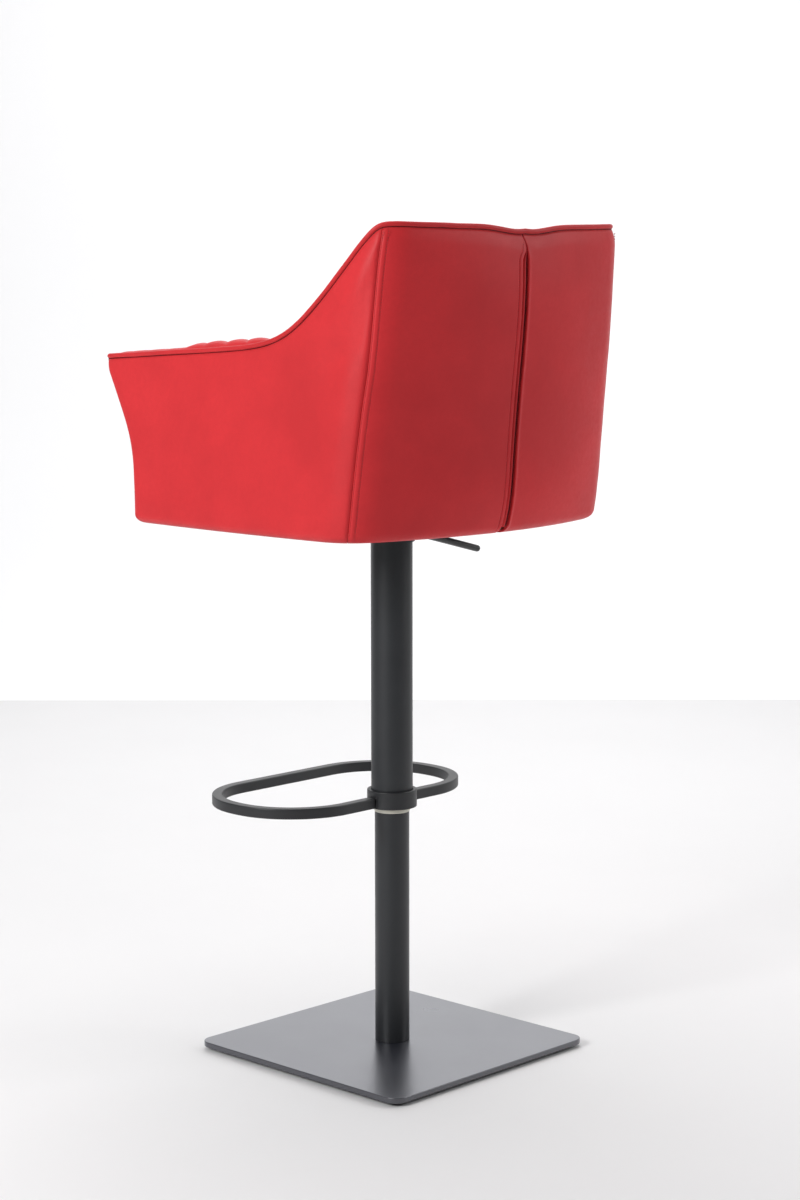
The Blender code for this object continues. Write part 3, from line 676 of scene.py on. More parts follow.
EDGE = [(0.0004, 0.0030), (0.0, 0.0024), (0.0, 0.0017), (0.00012, 0.0010), (0.0004, 0.00045), (0.0009, 0.00012), (0.0016, 0.0)]
for label, side in (("left", 1), ("right", -1)):
    raised = side < 0
    offset = back_offset(5.1 if side > 0 else 9.9, raised)
    columns = []
    gap = 0.0084 if side > 0 else 0.0012

    def slot_column(d, depth):
        def section_at(z):
            x = 0.0004 + gap * slot_open(z) + d
            lean = 0.0080 * smooth((z - 1.156) / 0.022) * max(0.0, 1 - d / 0.022)
            return BACK, back_u(x + (lean if side > 0 else -lean), z)

        x_top = 0.0004 + d
        return column(section_at, (BACK, back_u(x_top, 1.17)), side, offset, depth)

    for d, depth in EDGE:
        columns.append(slot_column(d, depth))
    spread = [0.0024, 0.0036, 0.0048, 0.0058, 0.0066, 0.0073, 0.0079, 0.0085, 0.0092, 0.0102, 0.0116, 0.0140, 0.0170]
    for d in spread:
        columns.append(slot_column(d, 0.0))
    for i in range(1, 39):
        x = 0.0262 + (SPAN0 - 0.0262) * i / 38
        columns.append(column(lambda z, x=x: (BACK, min(1.0, back_u(x, z))), (BACK, min(1.0, back_u(x, 1.17))), side, offset))
    before = [0.504, 0.444, 0.384, 0.324, 0.264, 0.214, 0.179, 0.164, 0.154, 0.146, 0.138, 0.130, 0.121, 0.112, 0.100, 0.084, 0.068, 0.052, 0.040, 0.032, 0.024, 0.017]
    for d in before:
        columns.append(column(lambda z, d=d: (TURN, before_lap(z, d)), (TURN, before_lap(1.17, d)), side, offset))
    for d, depth in reversed(EDGE):
        columns.append(column(lambda z, d=d: (TURN, lap(z) - d / ARC), (TURN, TOP_LAP - d / ARC), side, offset, depth * 0.80))
    cover = skin(f"back_leather_{label}", columns, M_SHELL)
    piece(cover, "seat", (f"back_cover_{label}",))

# Topstitching: two rows beside each corner seam, and one row along the left of the middle opening.
for label, side in (("left", 1), ("right", -1)):
    offset = back_offset(5.1 if side > 0 else 9.9, side < 0)
    for row, back in (("a", 0.0016 / ARC), ("b", ROWS)):
        top = rim_at(TURN, TOP_LAP - back) - 0.007
        path, normals = [], []
        for i in range(90):
            z = SHELL_LOW + 0.004 + (top - SHELL_LOW - 0.004) * i / 89
            u = lap(z) - back
            h = z - SHELL_LOW
            low = 0.012 - math.sqrt(max(0.0, 0.012**2 - max(0.0, 0.012 - h) ** 2))
            path.append(on_shell(TURN, u, z, offset(TURN, u, z, top - z) * min(1.0, h / 0.012) - low, side))
            normals.append(shell_normal(TURN, u, z, side))
        row_piece = stitches(f"corner_stitch_{label}_{row}", path, normals, M_THREAD)
        piece(row_piece, "seat")
offset = back_offset(5.1, False)
path, normals = [], []
for i in range(90):
    z = SHELL_LOW + 0.004 + (1.164 - SHELL_LOW - 0.004) * i / 89
    u = back_u(0.0083 + 0.0084 * slot_open(z), z)
    h = z - SHELL_LOW
    low = 0.012 - math.sqrt(max(0.0, 0.012**2 - max(0.0, 0.012 - h) ** 2))
    path.append(on_shell(BACK, u, z, offset(BACK, u, z, 1.17 - z) * min(1.0, h / 0.012) - low, 1))
    normals.append(shell_normal(BACK, u, z, 1))
piece(stitches("opening_stitch", path, normals, M_THREAD), "seat")

# The fold of leather that lies under the opening's left edge, and the zip behind it.
columns = []
for x, depth in ((0.0025, 0.0031), (0.0024, 0.0021), (0.0026, 0.0012), (0.0031, 0.0007), (0.0038, 0.0004), (0.0047, 0.00035), (0.0056, 0.0007), (0.0064, 0.0014), (0.0071, 0.0022), (0.0079, 0.0029), (0.0092, 0.0031)):
    outer, inner = [], []
    for i in range(60):
        z = 0.7800 + (1.1545 - 0.7800) * i / 59
        k = x * (0.10 + 0.90 * slot_open(z))
        p = on_shell(BACK, back_u(k, z), z, -depth, 1)
        q = on_shell(BACK, back_u(k, z), z, -0.0033, 1)
        outer.append(p)
        inner.append(q)
    columns.append((outer, inner))
piece(skin("opening_fold", columns, M_SHELL), "seat")

rings = []
for i in range(121):
    z = 0.7805 + (1.1540 - 0.7805) * i / 120
    y = on_shell(BACK, 0.0, z).y
    rings.append([Vector((0.0046, y - 0.00262, z)), Vector((0.0, y - 0.00255, z)), Vector((-0.0034, y - 0.00262, z)), Vector((-0.0034, y - 0.0032, z)), Vector((0.0046, y - 0.0032, z))])
piece(loops("zip_strip", rings, M_ZIP), "seat", ("zip_tape",))
verts, faces = [], []
for i in range(220):
    z = 0.7820 + (1.1530 - 0.7820) * i / 219
    y = on_shell(BACK, 0.0, z).y - 0.0021
    lean = 0.00025 if i % 2 else -0.00025
    start = len(verts)
    for dx, dz in ((-0.0009, -0.00045), (0.0009, -0.00045), (0.0009, 0.00045), (-0.0009, 0.00045)):
        for dy, shrink in ((-0.0004, 1.0), (0.00035, 0.6)):
            verts.append(Vector((dx * shrink + lean - 0.0002, y + dy, z + dz * shrink)))
    faces += [(start, start + 2, start + 4, start + 6), (start + 1, start + 7, start + 5, start + 3)]
    for k in range(4):
        a, b = start + 2 * k, start + 2 * ((k + 1) % 4)
        faces.append((a, a + 1, b + 1, b))
piece(link_mesh("zip_teeth", verts, faces, M_SEAM, False), "seat")

# ---------------------------------------------------------------- piping
welt_half = [(RETURN, 0.86 - 0.86 * i / 8) for i in range(8)] + [(NOSE, 1 - i / 10) for i in range(10)]
welt_half += [(SIDE, 1 - i / 160) for i in range(160)] + [(TURN, 1 - i / 44) for i in range(44)] + [(BACK, 1 - i / 100) for i in range(100)]


def welt_point(section, u, side, inset=0.0052, up=0.0005):
    z = rim_at(section, u)
    p = plan(section, u, z, inset)
    return Vector((side * p.x, p.y, z + up * rise(section, u)))


path = [welt_point(s, u, 1) for s, u in welt_half] + [welt_point(BACK, 0.0, 1)] + [welt_point(s, u, -1) for s, u in reversed(welt_half)]
path = even(path, 0.0032)
total = len(path)
rings = []
for i, p in enumerate(path):
    before, after = path[max(0, i - 1)], path[min(total - 1, i + 1)]
    run = (after - before).normalized()
    across = run.cross(Vector((0, 0, 1))).normalized()
    up = across.cross(run).normalized()
    end = min(i, total - 1 - i)
    fat = 0.00345 * (1.0 + 0.030 * noise.noise(p * 60.0)) * (1.0 if end >= 4 else (0.15, 0.62, 0.85, 0.96)[end])
    p = p + up * (0.00045 * noise.noise(p * 21.0)) - Vector((0, 0, 0.0))
    rings.append([p + across * (fat * math.cos(a)) + up * (fat * math.sin(a)) for a in (2 * math.pi * k / 18 for k in range(18))])
piece(loops("rim_piping", rings, M_PIPE_SHADED), "seat", ("piping",))

# The piping's flange, coloured near black as painted shade: it shows as a dark line between the piping and the covers,
# where the piping's shadow falls into the crevice.
rings = []
for section, u in welt_half[:-1]:
    z = rim_at(section, u)
    lift = rise(section, u)
    ring = []
    for inset, drop in ((0.0042, 0.0105), (0.0040, 0.0050), (0.0040, -0.0005), (0.0048, -0.0005), (0.0052, 0.0050), (0.0052, 0.0105)):
        p = plan(section, u, z, inset)
        ring.append(Vector((p.x, p.y, z - drop * lift)))
    rings.append(ring)
middle = []
z = rim_at(BACK, 0.0)
for inset, drop in ((0.0042, 0.0105), (0.0040, 0.0050), (0.0040, -0.0005), (0.0048, -0.0005), (0.0052, 0.0050), (0.0052, 0.0105)):
    p = plan(BACK, 0.0, z, inset)
    middle.append(Vector((0.0, p.y, z - drop)))
mirrored = [[Vector((-v.x, v.y, v.z)) for v in ring] for ring in reversed(rings)]
piece(loops("piping_flange_painted_shade", rings + [middle] + mirrored, M_FLANGE_SHADE), "seat")

# ---------------------------------------------------------------- quilted pads
CELL = 0.0335


def crown(s, t, edge=0.5):
    a = abs(math.sin(math.pi * s / CELL)) ** edge
    b = abs(math.sin(math.pi * t / CELL)) ** edge
    return a * b


def pad_ring(section, u, side, s, front_end=0.0):
    """One closed section of a pad: flange at the welt, crest, quilted face and plain back. front_end is not used."""
    top = rim_at(section, u)
    lift = rise(section, u)
    p0 = plan(section, u, top)
    mid_arm = smooth((p0.y + 0.190) / 0.07) * smooth((0.082 - p0.y) / 0.045)
    across = abs(math.sin(math.pi * s / CELL)) ** 0.55
    crest = -0.0004 + 0.0060 * smooth((0.05 - p0.y) / 0.08) + 0.0064 * mid_arm * (0.55 + 0.45 * across) + 0.0008 * across
    if section == BACK or (section == TURN and u < 0.4):
        # The back pad stands a little above the welt, and dips deeper than it in the middle.
        toward_left = smooth((side * p0.x + 0.03) / 0.06)
        crest += (0.0046 * toward_left - 0.0012) * (1 - smooth(u / 0.4) if section == TURN else 1.0)
        crest -= 0.0074 * math.exp(-((p0.x / 0.044) ** 2))
    deep = 0.0454
    ring = []

    def put(inset, z, turn=0.062):
        p = plan(section, u, z, inset + front_end * 0.0, turn=turn)
        over = top - slope(p.y)
        if over > -0.02:
            over = 0.0015 * math.log1p(math.exp(over / 0.0015)) - (0.0010 if section == SIDE else 0.0)
            z -= over * smooth((z - (top - 0.105)) / 0.080)
            p = plan(section, u, z, inset, turn=turn)
        ring.append(Vector((side * p.x, p.y, z)))

    put(0.0086, top - 0.0030 * lift, 0.042)
    put(0.0082, top + 0.0006 * lift, 0.042)
    steps = 7
    for k in range(1, steps + 1):
        a = math.pi / 2 * k / steps
        put(0.0082 + 0.0150 * (1 - math.cos(a)), top + (0.0006 + (crest - 0.0006) * math.sin(a)) * lift, 0.042 + 0.010 * k / steps)
    face_top = top + (crest - 0.0210) * lift
    for k in range(1, 11):
        a = math.pi / 2 * k / 10
        z = top + crest * lift - (1 - math.cos(a)) * 0.0210 * lift
        puff = 0.0048 * crown(s, z - 0.868) * math.sin(a) ** 2
        put(0.0232 + (deep - 0.0050 - 0.0232) * math.sin(a) + puff, z)
    low = 0.7862
    rows = 88
    for k in range(1, rows + 1):
        z = face_top + (low - face_top) * k / rows
        shown = smooth((z - 0.868) / 0.010)
        puff = 0.0050 * crown(s, z - 0.868) * shown + 0.0010 * (1 - shown)
        wrinkle = 0.0006 * noise.noise(Vector((s * 40 + side * 5, z * 40, 2.0))) * shown
        put(deep - 0.0050 + puff + wrinkle, z)
    for k in range(10):
        z = low + (top - 0.026 * lift - low) * k / 9
        put(0.0158, z, 0.050)
    put(0.0176, top - 0.014 * lift, 0.046)
    put(0.0194, top - 0.0052 * lift, 0.044)
    put(0.0192, top - 0.0036 * lift, 0.044)
    return ring


def arc_lengths(stops, inset, z):
    total, found, before = 0.0, [], None
    for s, u in stops:
        p = plan(s, u, z, inset, turn=0.062)
        if before is not None:
            total += (p - before).length
        found.append(total)
        before = p
    return found


def denser(stops, inset, z, step):
    """Stops spread out evenly at a step along the inner face, with their distance from the first."""
    lengths = arc_lengths(stops, inset, z)
    count = int(lengths[-1] / step)
    out, k = [], 0
    for i in range(count + 1):
        want = lengths[-1] * i / count
        while k < len(stops) - 2 and lengths[k + 1] < want:
            k += 1
        (sa, ua), (sb, ub) = stops[k], stops[k + 1]
        t = (want - lengths[k]) / max(1e-9, lengths[k + 1] - lengths[k])
        if sa != sb:
            ua, sa = 0.0, sb
        out.append((sa, ua + (ub - ua) * t, want))
    return out


def finish_rings(name, rings, mat):
    return loops(name, rings, mat)


arm_stops = [(TURN, 0.53 + 0.47 * i / 12) for i in range(12)] + [(SIDE, 0.985 * i / 60) for i in range(61)]
arm_columns = denser(arm_stops, 0.040, 0.95, 0.0030)
for label, side in (("left", 1), ("right", -1)):
    rings = []
    count = len(arm_columns)
    for i, (section, u, s) in enumerate(arm_columns):
        ring = pad_ring(section, u, side, s + CELL * 0.5)
        rings.append(ring)
    # Close each end with a slightly smaller copy, so that the pad's ends are rounded.
    for end, nxt in ((0, 1), (-1, -2)):
        centre = sum(rings[end], Vector()) / len(rings[end])
        rings[end] = [p.lerp(centre, 0.035) for p in rings[end]]
    pad = finish_rings(f"arm_pad_quilted_{label}", rings, M_PAD)
    piece(pad, "seat", (f"arm_pad_{label}",))

back_stops = [(BACK, i / 60) for i in range(60)] + [(TURN, 0.50 * i / 10) for i in range(11)]
back_columns = denser(back_stops, 0.040, 0.95, 0.0030)
rings = [pad_ring(s_, u, 1, s) for s_, u, s in reversed(back_columns)] + [pad_ring(s_, u, -1, s) for s_, u, s in back_columns[1:]]
for end in (0, -1):
    centre = sum(rings[end], Vector()) / len(rings[end])
    rings[end] = [p.lerp(centre, 0.02) for p in rings[end]]
pad = finish_rings("back_pad_quilted", rings, M_PAD)
piece(pad, "seat", ("back_pad",))

# ---------------------------------------------------------------- seat cushion
CUSHION_LOW, CUSHION_TOP = 0.7856, 0.8680


def cushion_outline(inset, fore, count=200):
    half = [plan(BACK, i / 40, 0.786, inset, turn=0.062) for i in range(40)]
    half += [plan(TURN, i / 12, 0.786, inset, turn=0.062) for i in range(12)]
    half += [plan(SIDE, i / 40, 0.786, inset, turn=0.062) for i in range(41)]
    half = [p for p in half if p.y > -fore + 0.030]
    x = half[-1].x
    for k in range(7):
        a = math.pi / 2 * k / 6
        half.append(Vector((x - 0.030 + 0.030 * math.cos(a), -fore + 0.030 - 0.030 * math.sin(a))))
    loop = [Vector((p.x, p.y, 0)) for p in half] + [Vector((-p.x, p.y, 0)) for p in reversed(half)]
    closed = even(loop + [loop[0]], 0.006)[:-1]
    return closed


def cushion_form(shrink):
    """The cushion's foam: a rounded slab through scaled copies of its outline."""
    rows = []
    tall = CUSHION_TOP - CUSHION_LOW - 2 * shrink
    outline_pts = cushion_outline(0.0486 + shrink, 0.2570 - shrink)
    r = 0.018
    levels_ = []
    for k in range(6):
        a = math.pi / 2 * k / 5
        levels_.append((r * (1 - math.sin(a)) * 0.6, CUSHION_LOW + shrink + r * 0.5 * (1 - math.cos(a))))
    for k in range(1, 8):
        levels_.append((0.0, CUSHION_LOW + shrink + r * 0.5 + (tall - 1.5 * r) * k / 8))
    for k in range(7):
        a = math.pi / 2 * k / 6
        levels_.append((r * (1 - math.cos(a)), CUSHION_TOP - shrink - r + r * math.sin(a)))
    centre = Vector((0, -0.03, 0))
    for inward, z in levels_:
        ring = []
        for p in outline_pts:
            d = (p - centre)
            k = max(0.0, 1 - inward / max(d.length, 1e-6))
            q = centre + d * k
            ring.append(Vector((q.x, q.y, z)))
        rows.append(ring)
    n = len(rows[0])
    verts = [v for row in rows for v in row]
    faces = []
    for i in range(len(rows) - 1):
        for j in range(n):
            faces.append((i * n + j, i * n + (j + 1) % n, (i + 1) * n + (j + 1) % n, (i + 1) * n + j))
    faces.append(tuple(range(n)))
    faces.append(tuple(range((len(rows) - 1) * n, len(rows) * n)))
    return link_mesh("seat_cushion_quilted", verts, faces, M_PAD)


cushion = cushion_form(0.004)
bpy.context.view_layer.objects.active = cushion
cushion.data.remesh_voxel_size = 0.0058
cushion.data.remesh_voxel_adaptivity = 0.0
for obj in bpy.context.selected_objects:
    obj.select_set(False)
cushion.select_set(True)
bpy.ops.object.voxel_remesh()
scene = bpy.context.scene
start = [v.co.copy() for v in cushion.data.vertices]
cloth = cushion.modifiers.new("cloth", "CLOTH")
cloth.settings.quality = 5
cloth.settings.mass = 0.35
cloth.settings.tension_stiffness = 18
cloth.settings.compression_stiffness = 18
cloth.settings.bending_stiffness = 1.5
cloth.settings.use_pressure = True
cloth.settings.uniform_pressure_force = 4.0
cloth.settings.effector_weights.gravity = 0.0
cloth.point_cache.frame_start = 1
cloth.point_cache.frame_end = 20
for k in range(1, 21):
    scene.frame_set(k)
graph = bpy.context.evaluated_depsgraph_get()
done = bpy.data.meshes.new_from_object(cushion.evaluated_get(graph))
moved = [v.co.copy() for v in done.vertices]
cushion.modifiers.remove(cloth)
scene.frame_set(1)
if len(moved) == len(start):
    for vertex, a, b in zip(cushion.data.vertices, start, moved):
        step = b - a
        if step.length > 0.007:
            step = step.normalized() * 0.007
        vertex.co = a + step
bpy.data.meshes.remove(done)
sub = cushion.modifiers.new("finer", "SUBSURF")
sub.levels = sub.render_levels = 1
graph = bpy.context.evaluated_depsgraph_get()
finer = bpy.data.meshes.new_from_object(cushion.evaluated_get(graph))
cushion.modifiers.remove(sub)
old = cushion.data
cushion.data = finer
bpy.data.meshes.remove(old)
cushion.data.materials.clear()
cushion.data.materials.append(M_PAD)
for polygon in cushion.data.polygons:
    polygon.use_smooth = True
LIMIT = cushion_outline(0.0474, 0.2600)
reach_at = {}
for p in LIMIT:
    reach_at[int(round(math.degrees(math.atan2(p.y + 0.03, p.x)) / 2))] = (p - Vector((0, -0.03, 0))).length
for vertex in cushion.data.vertices:
    co = vertex.co
    edge = math.hypot(co.x / 0.200, (co.y + 0.03) / 0.235)
    fade = smooth((1.02 - edge) / 0.14) * smooth((co.z - 0.845) / 0.012)
    if co.z > 0.84:
        groove = 1 - crown(co.x + CELL * 0.0, co.y + 0.2580 - 0.012, 0.5)
        co.z += 0.0030 * smooth((1.0 - edge) / 0.8) - 0.0052 * groove * fade
    co.z = max(CUSHION_LOW - 0.0001, min(co.z, 0.8745))
    angle = int(round(math.degrees(math.atan2(co.y + 0.03, co.x)) / 2))
    limit = min(reach_at.get(angle, 1.0), reach_at.get(angle + 1, 1.0), reach_at.get(angle - 1, 1.0))
    distance = math.hypot(co.x, co.y + 0.03)
    if distance > limit:
        co.x *= limit / distance
        co.y = -0.03 + (co.y + 0.03) * limit / distance
piece(cushion, "seat", ("seat_cushion",))

# A loop for the cushion's border welt, low on its front and sides; no welt is built from it.
welt_loop = [Vector((p.x, p.y, 0.8640)) for p in cushion_outline(0.0505, 0.2560)]
count = len(welt_loop)

# ---------------------------------------------------------------- front panel
rings = []
for i in range(61):
    t = i / 60
    x = -0.2085 + 0.417 * t
    out = 0.0006 * noise.noise(Vector((x * 20, 1.0, 0.0)))
    end = min(1.0, min(t, 1 - t) * 60 / 2.0)
    profile = []
    for y, z in ((-0.2606, 0.7692), (-0.2634, 0.7690), (-0.2644, 0.7700), (-0.2646, 0.7730), (-0.2644, 0.7850), (-0.2647, 0.8000), (-0.2648, 0.8150), (-0.2646, 0.8290), (-0.2645, 0.8350), (-0.2638, 0.8376), (-0.2625, 0.8384), (-0.2610, 0.8376), (-0.2604, 0.8350), (-0.2604, 0.7720)):
        k = 1.0 if y > -0.2620 else 1.0
        profile.append(Vector((x, y - (out if y < -0.262 else 0.0), 0.8035 + (z - 0.8035) * (0.985 + 0.015 * end))))
    rings.append(profile)
piece(loops("front_leather", rings, M_SHELL), "seat", ("front_cover",))
path = [Vector((-0.203 + 0.406 * i / 90, -0.26475 - 0.0006 * noise.noise(Vector(((-0.203 + 0.406 * i / 90) * 20, 1.0, 0.0))), 0.8315)) for i in range(91)]
piece(stitches("front_stitch", path, [Vector((0, -1, 0))] * 4, M_THREAD), "seat")

# ================================================================ metal and mechanism
GLIDE_AT = 0.172


def rounded_rect(wide, deep, radius, n=12):
    out = []
    for k, (sx, sy) in enumerate(((1, 1), (-1, 1), (-1, -1), (1, -1))):
        for i in range(n + 1):
            a = math.pi / 2 * (k + i / n)
            out.append(Vector((sx * (wide / 2 - radius) + radius * math.cos(a), sy * (deep / 2 - radius) + radius * math.sin(a))))
    return out


def slab(name, wide, deep, radius, low, high, round_, mat, n=12):
    """A plate with rounded corners and softly broken edges."""
    rings = []
    for inward, z in [(round_ * (1 - math.sin(a)), low + round_ * (1 - math.cos(a))) for a in (math.pi / 2 * k / 4 for k in range(5))] + [(round_ * (1 - math.cos(a)), high - round_ + round_ * math.sin(a)) for a in (math.pi / 2 * k / 4 for k in range(5))]:
        rings.append([Vector((p.x, p.y, z)) for p in rounded_rect(wide - 2 * inward, deep - 2 * inward, radius - inward, n)])
    return weighted(loops(name, rings, mat))


piece(slab("floor_plate", 0.400, 0.400, 0.020, 0.005, 0.013, 0.0011, M_PLATE, 16), "base", ("base_plate",))
for k, (sx, sy) in enumerate(((1, 1), (-1, 1), (-1, -1), (1, -1))):
    glide = lathe(f"floor_glide_{k + 1}", [(0.0, 0.0049), (0.0160, 0.0049), (0.0168, 0.0038), (0.0164, 0.0012), (0.0150, 0.0), (0.0, 0.0)], M_BLACK, 56, (sx * GLIDE_AT, sy * GLIDE_AT), 0.0004)
    piece(glide, "base", (f"glide_{k + 1}",))

piece(lathe("column_lower", [(0.0250, 0.5050), (0.0250, 0.0131), (0.0230, 0.0131), (0.0230, 0.5050)], M_TUBE, 112, radius=0.0005), "base", ("lower_tube",))
piece(lathe("column_upper", [(0.0300, 0.7448), (0.0300, 0.3598), (0.0280, 0.3598), (0.0280, 0.7448)], M_TUBE, 112, radius=0.0005), "seat", ("upper_tube",))
piece(lathe("guide_sleeve", [(0.0277, 0.4200), (0.0277, 0.3592), (0.0268, 0.3586), (0.0262, 0.3545), (0.0256, 0.3530), (0.0253, 0.3530), (0.0253, 0.4200)], M_NYLON, 96, radius=0.0003), "seat", ("guide_bush",))
piece(lathe("hoop_collar", [(0.0360, 0.3855), (0.0360, 0.3600), (0.0302, 0.3600), (0.0302, 0.3855)], M_RING, 112, radius=0.0012), "seat", ("footrest_collar",))

BAR = 0.015
HOOP_LONG, HOOP_NEAR, HOOP_FAR, HOOP_R = 0.410, -0.0045, 0.2290, 0.1120
path = []
radius = HOOP_R - BAR / 2
a0 = HOOP_LONG / 2 - HOOP_R
near_, far_ = HOOP_NEAR + HOOP_R, HOOP_FAR - HOOP_R
v0 = HOOP_NEAR + BAR / 2
reach = math.sqrt(0.0352**2 - v0**2)
path.append(Vector((-reach, -v0, 0.3693)))
path.append(Vector((-reach - 0.02, -v0, 0.3693)))
for cx, cy, begin in ((-a0, near_, -90), (-a0, far_, -180), (a0, far_, -270), (a0, near_, -360)):
    for i in range(25):
        t = math.radians(begin - 90 * i / 24)
        path.append(Vector((cx + radius * math.cos(t), -(cy + radius * math.sin(t)), 0.3693)))
path.append(Vector((reach + 0.02, -v0, 0.3693)))
path.append(Vector((reach, -v0, 0.3693)))
section = [(p.x, p.y) for p in fillet([(-0.0075, -0.0075), (0.0075, -0.0075), (0.0075, 0.0075), (-0.0075, 0.0075)], 0.0020, 5)]
hoop = weighted(sweep("foot_hoop", even(path, 0.006), section, M_RING))
piece(hoop, "seat", ("footrest_ring",))
# Weld fillets where the bar meets the collar.
for label, sx in (("a", -1), ("b", 1)):
    loop = []
    for i in range(33):
        a = 2 * math.pi * i / 32
        c, s = math.cos(a), math.sin(a)
        k = 1.0 / max(abs(c), abs(s)) ** 0.85
        y = -v0 + 0.0076 * c * k
        z = 0.3693 + 0.0076 * s * k
        x = math.sqrt(max(1e-9, 0.0362**2 - y * y))
        loop.append(Vector((sx * x, y, z)))
    rings = []
    for i, p in enumerate(loop[:-1]):
        nxt, prev = loop[(i + 1) % 32], loop[i - 1]
        run = (nxt - prev).normalized()
        out = Vector((sx, 0, 0))
        across = run.cross(out).normalized()
        out = across.cross(run).normalized()
        fat = 0.0011 * (1 + 0.15 * math.sin(i * 2.1))
        rings.append([p + across * (fat * math.cos(b)) + out * (fat * math.sin(b)) for b in (2 * math.pi * k / 8 for k in range(8))])
    piece(loops(f"hoop_weld_{label}", rings, M_RING, closed=True), "seat")

# The lever: a round rod bent down from its flattened root, with a domed tip.
PIVOT = Vector((-0.022, 0.0, 0.7605))
LEVER_TIP, LEVER_ROOT = Vector((-0.186, 0.0, 0.7180)), Vector((-0.0345, 0.0, 0.7567))
run = (LEVER_TIP - LEVER_ROOT).normalized()
knots = [(Vector((0.0085, 0, 0.7605)), 0.0046, 0.0026, 0.6), (Vector((0.0080, 0, 0.7605)), 0.0046, 0.0028, 0.6), (Vector((-0.0240, 0, 0.7605)), 0.0046, 0.0028, 0.6), (Vector((-0.0270, 0, 0.7603)), 0.0046, 0.0030, 0.5), (Vector((-0.0300, 0, 0.7592)), 0.0047, 0.0038, 0.3), (Vector((-0.0335, 0, 0.7573)), 0.0049, 0.0046, 0.1)]
for i in range(1, 22):
    knots.append((LEVER_ROOT.lerp(LEVER_TIP, i / 22), 0.0050, 0.0050, 0.0))
for i in range(1, 8):
    a = math.pi / 2 * i / 7
    knots.append((LEVER_TIP + run * (-0.0050 + 0.0050 * math.sin(a)), max(0.00012, 0.0050 * math.cos(a)), max(0.00012, 0.0050 * math.cos(a)), 0.0))
rings = []
for i, (centre, wide, tall, power) in enumerate(knots):
    before, after = knots[max(0, i - 1)][0], knots[min(len(knots) - 1, i + 1)][0]
    direction = (after - before).normalized()
    side_axis = Vector((0, 1, 0))
    up = direction.cross(side_axis).normalized()
    ring = []
    for k in range(28):
        a = 2 * math.pi * (k + 0.5) / 28
        c, s = math.cos(a), math.sin(a)
        f = 1.0 / max(abs(c), abs(s)) ** power if power else 1.0
        ring.append(centre + side_axis * (wide * c * f) + up * (tall * s * f))
    rings.append(ring)
piece(weighted(loops("lever_rod", rings, M_LEVER)), "lever", ("release_lever",))

# Staples that hold the hem and the dust cloth to the board.
verts, faces = [], []
outline_pts = []
for section_, count in ((BACK, 30), (TURN, 8), (SIDE, 30)):
    for i in range(count):
        outline_pts.append(plan(section_, i / count, 0.7715, 0.0178))
outline_pts = [p for p in outline_pts if p.y > -0.225]
half = [Vector((p.x, p.y, 0.77085)) for p in outline_pts]
for side in (1, -1):
    ring_path = even([Vector((side * p.x, p.y, p.z)) for p in half], 0.024)
    for i in range(1, len(ring_path) - 1):
        p, q = ring_path[i], ring_path[i + 1]
        run_ = (q - p).normalized()
        across = Vector((-run_.y, run_.x, 0))
        angle = 0.35 * math.sin(i * 12.9 + side)
        d = (run_ * math.cos(angle) + across * math.sin(angle)) * 0.0050
        w = Vector((-d.y, d.x, 0)).normalized() * 0.00035
        start = len(verts)
        for end in (p - d, p + d):
            for dz in (0.0003, -0.0003):
                verts += [end + w + Vector((0, 0, dz)), end - w + Vector((0, 0, dz))]
        s0 = start
        faces += [(s0, s0 + 1, s0 + 3, s0 + 2), (s0 + 4, s0 + 6, s0 + 7, s0 + 5), (s0, s0 + 4, s0 + 5, s0 + 1), (s0 + 2, s0 + 3, s0 + 7, s0 + 6), (s0, s0 + 2, s0 + 6, s0 + 4), (s0 + 1, s0 + 5, s0 + 7, s0 + 3)]
piece(link_mesh("hem_staples", verts, faces, M_ZINC, False), "seat")

# ---------------------------------------------------------------- materials on the CAD nodes that stay
FINISH = {
    "column_foot": M_ZINC, "thrust_washer_lower": M_ZINC, "thrust_washer_upper": M_ZINC, "rod_washer": M_ZINC, "rod_clip": M_ZINC,
    "lever_pivot": M_ZINC, "valve_pin": M_ZINC, "thrust_bearing": M_BRASS, "piston_rod": M_CHROME, "bump_stop": M_RUBBER,
    "tube_guide_ring": M_NYLON, "gas_cylinder": M_LEVER, "seat_mount": M_TUBE, "seat_board": M_BOARD, "shell_frame": M_SHELL, "dust_cover": M_DUST,
}
for name, obj in NODES.items():
    mat = FINISH.get(name)
    if mat is None and ("screw" in name):
        mat = M_ZINC
    if mat is None:
        continue
    obj.data.materials.clear()
    obj.data.materials.append(mat)

# ================================================================ stage, light and camera
CAM = Vector((2.65151, 2.56092, 1.14288))
HEAD, PITCH, ROLL = math.radians(223.82), math.radians(7.471), math.radians(-0.0675)
fwd = Vector((math.cos(HEAD) * math.cos(PITCH), math.sin(HEAD) * math.cos(PITCH), -math.sin(PITCH)))
right = Vector((math.cos(HEAD - math.pi / 2), math.sin(HEAD - math.pi / 2), 0.0))
up = right.cross(fwd)
cam_data = bpy.data.cameras.new("camera")
cam_data.lens = 78.0
cam_data.sensor_width = 36.0
cam_data.sensor_fit = "AUTO"
cam_data.clip_start = 0.05
cam_data.clip_end = 60.0
cam = bpy.data.objects.new("camera", cam_data)
COLLECTION.objects.link(cam)
frame_axes = Matrix((right, up, -fwd)).transposed().to_4x4()
cam.matrix_world = Matrix.Translation(CAM) @ frame_axes @ Matrix.Rotation(ROLL, 4, "Z")
bpy.context.scene.camera = cam


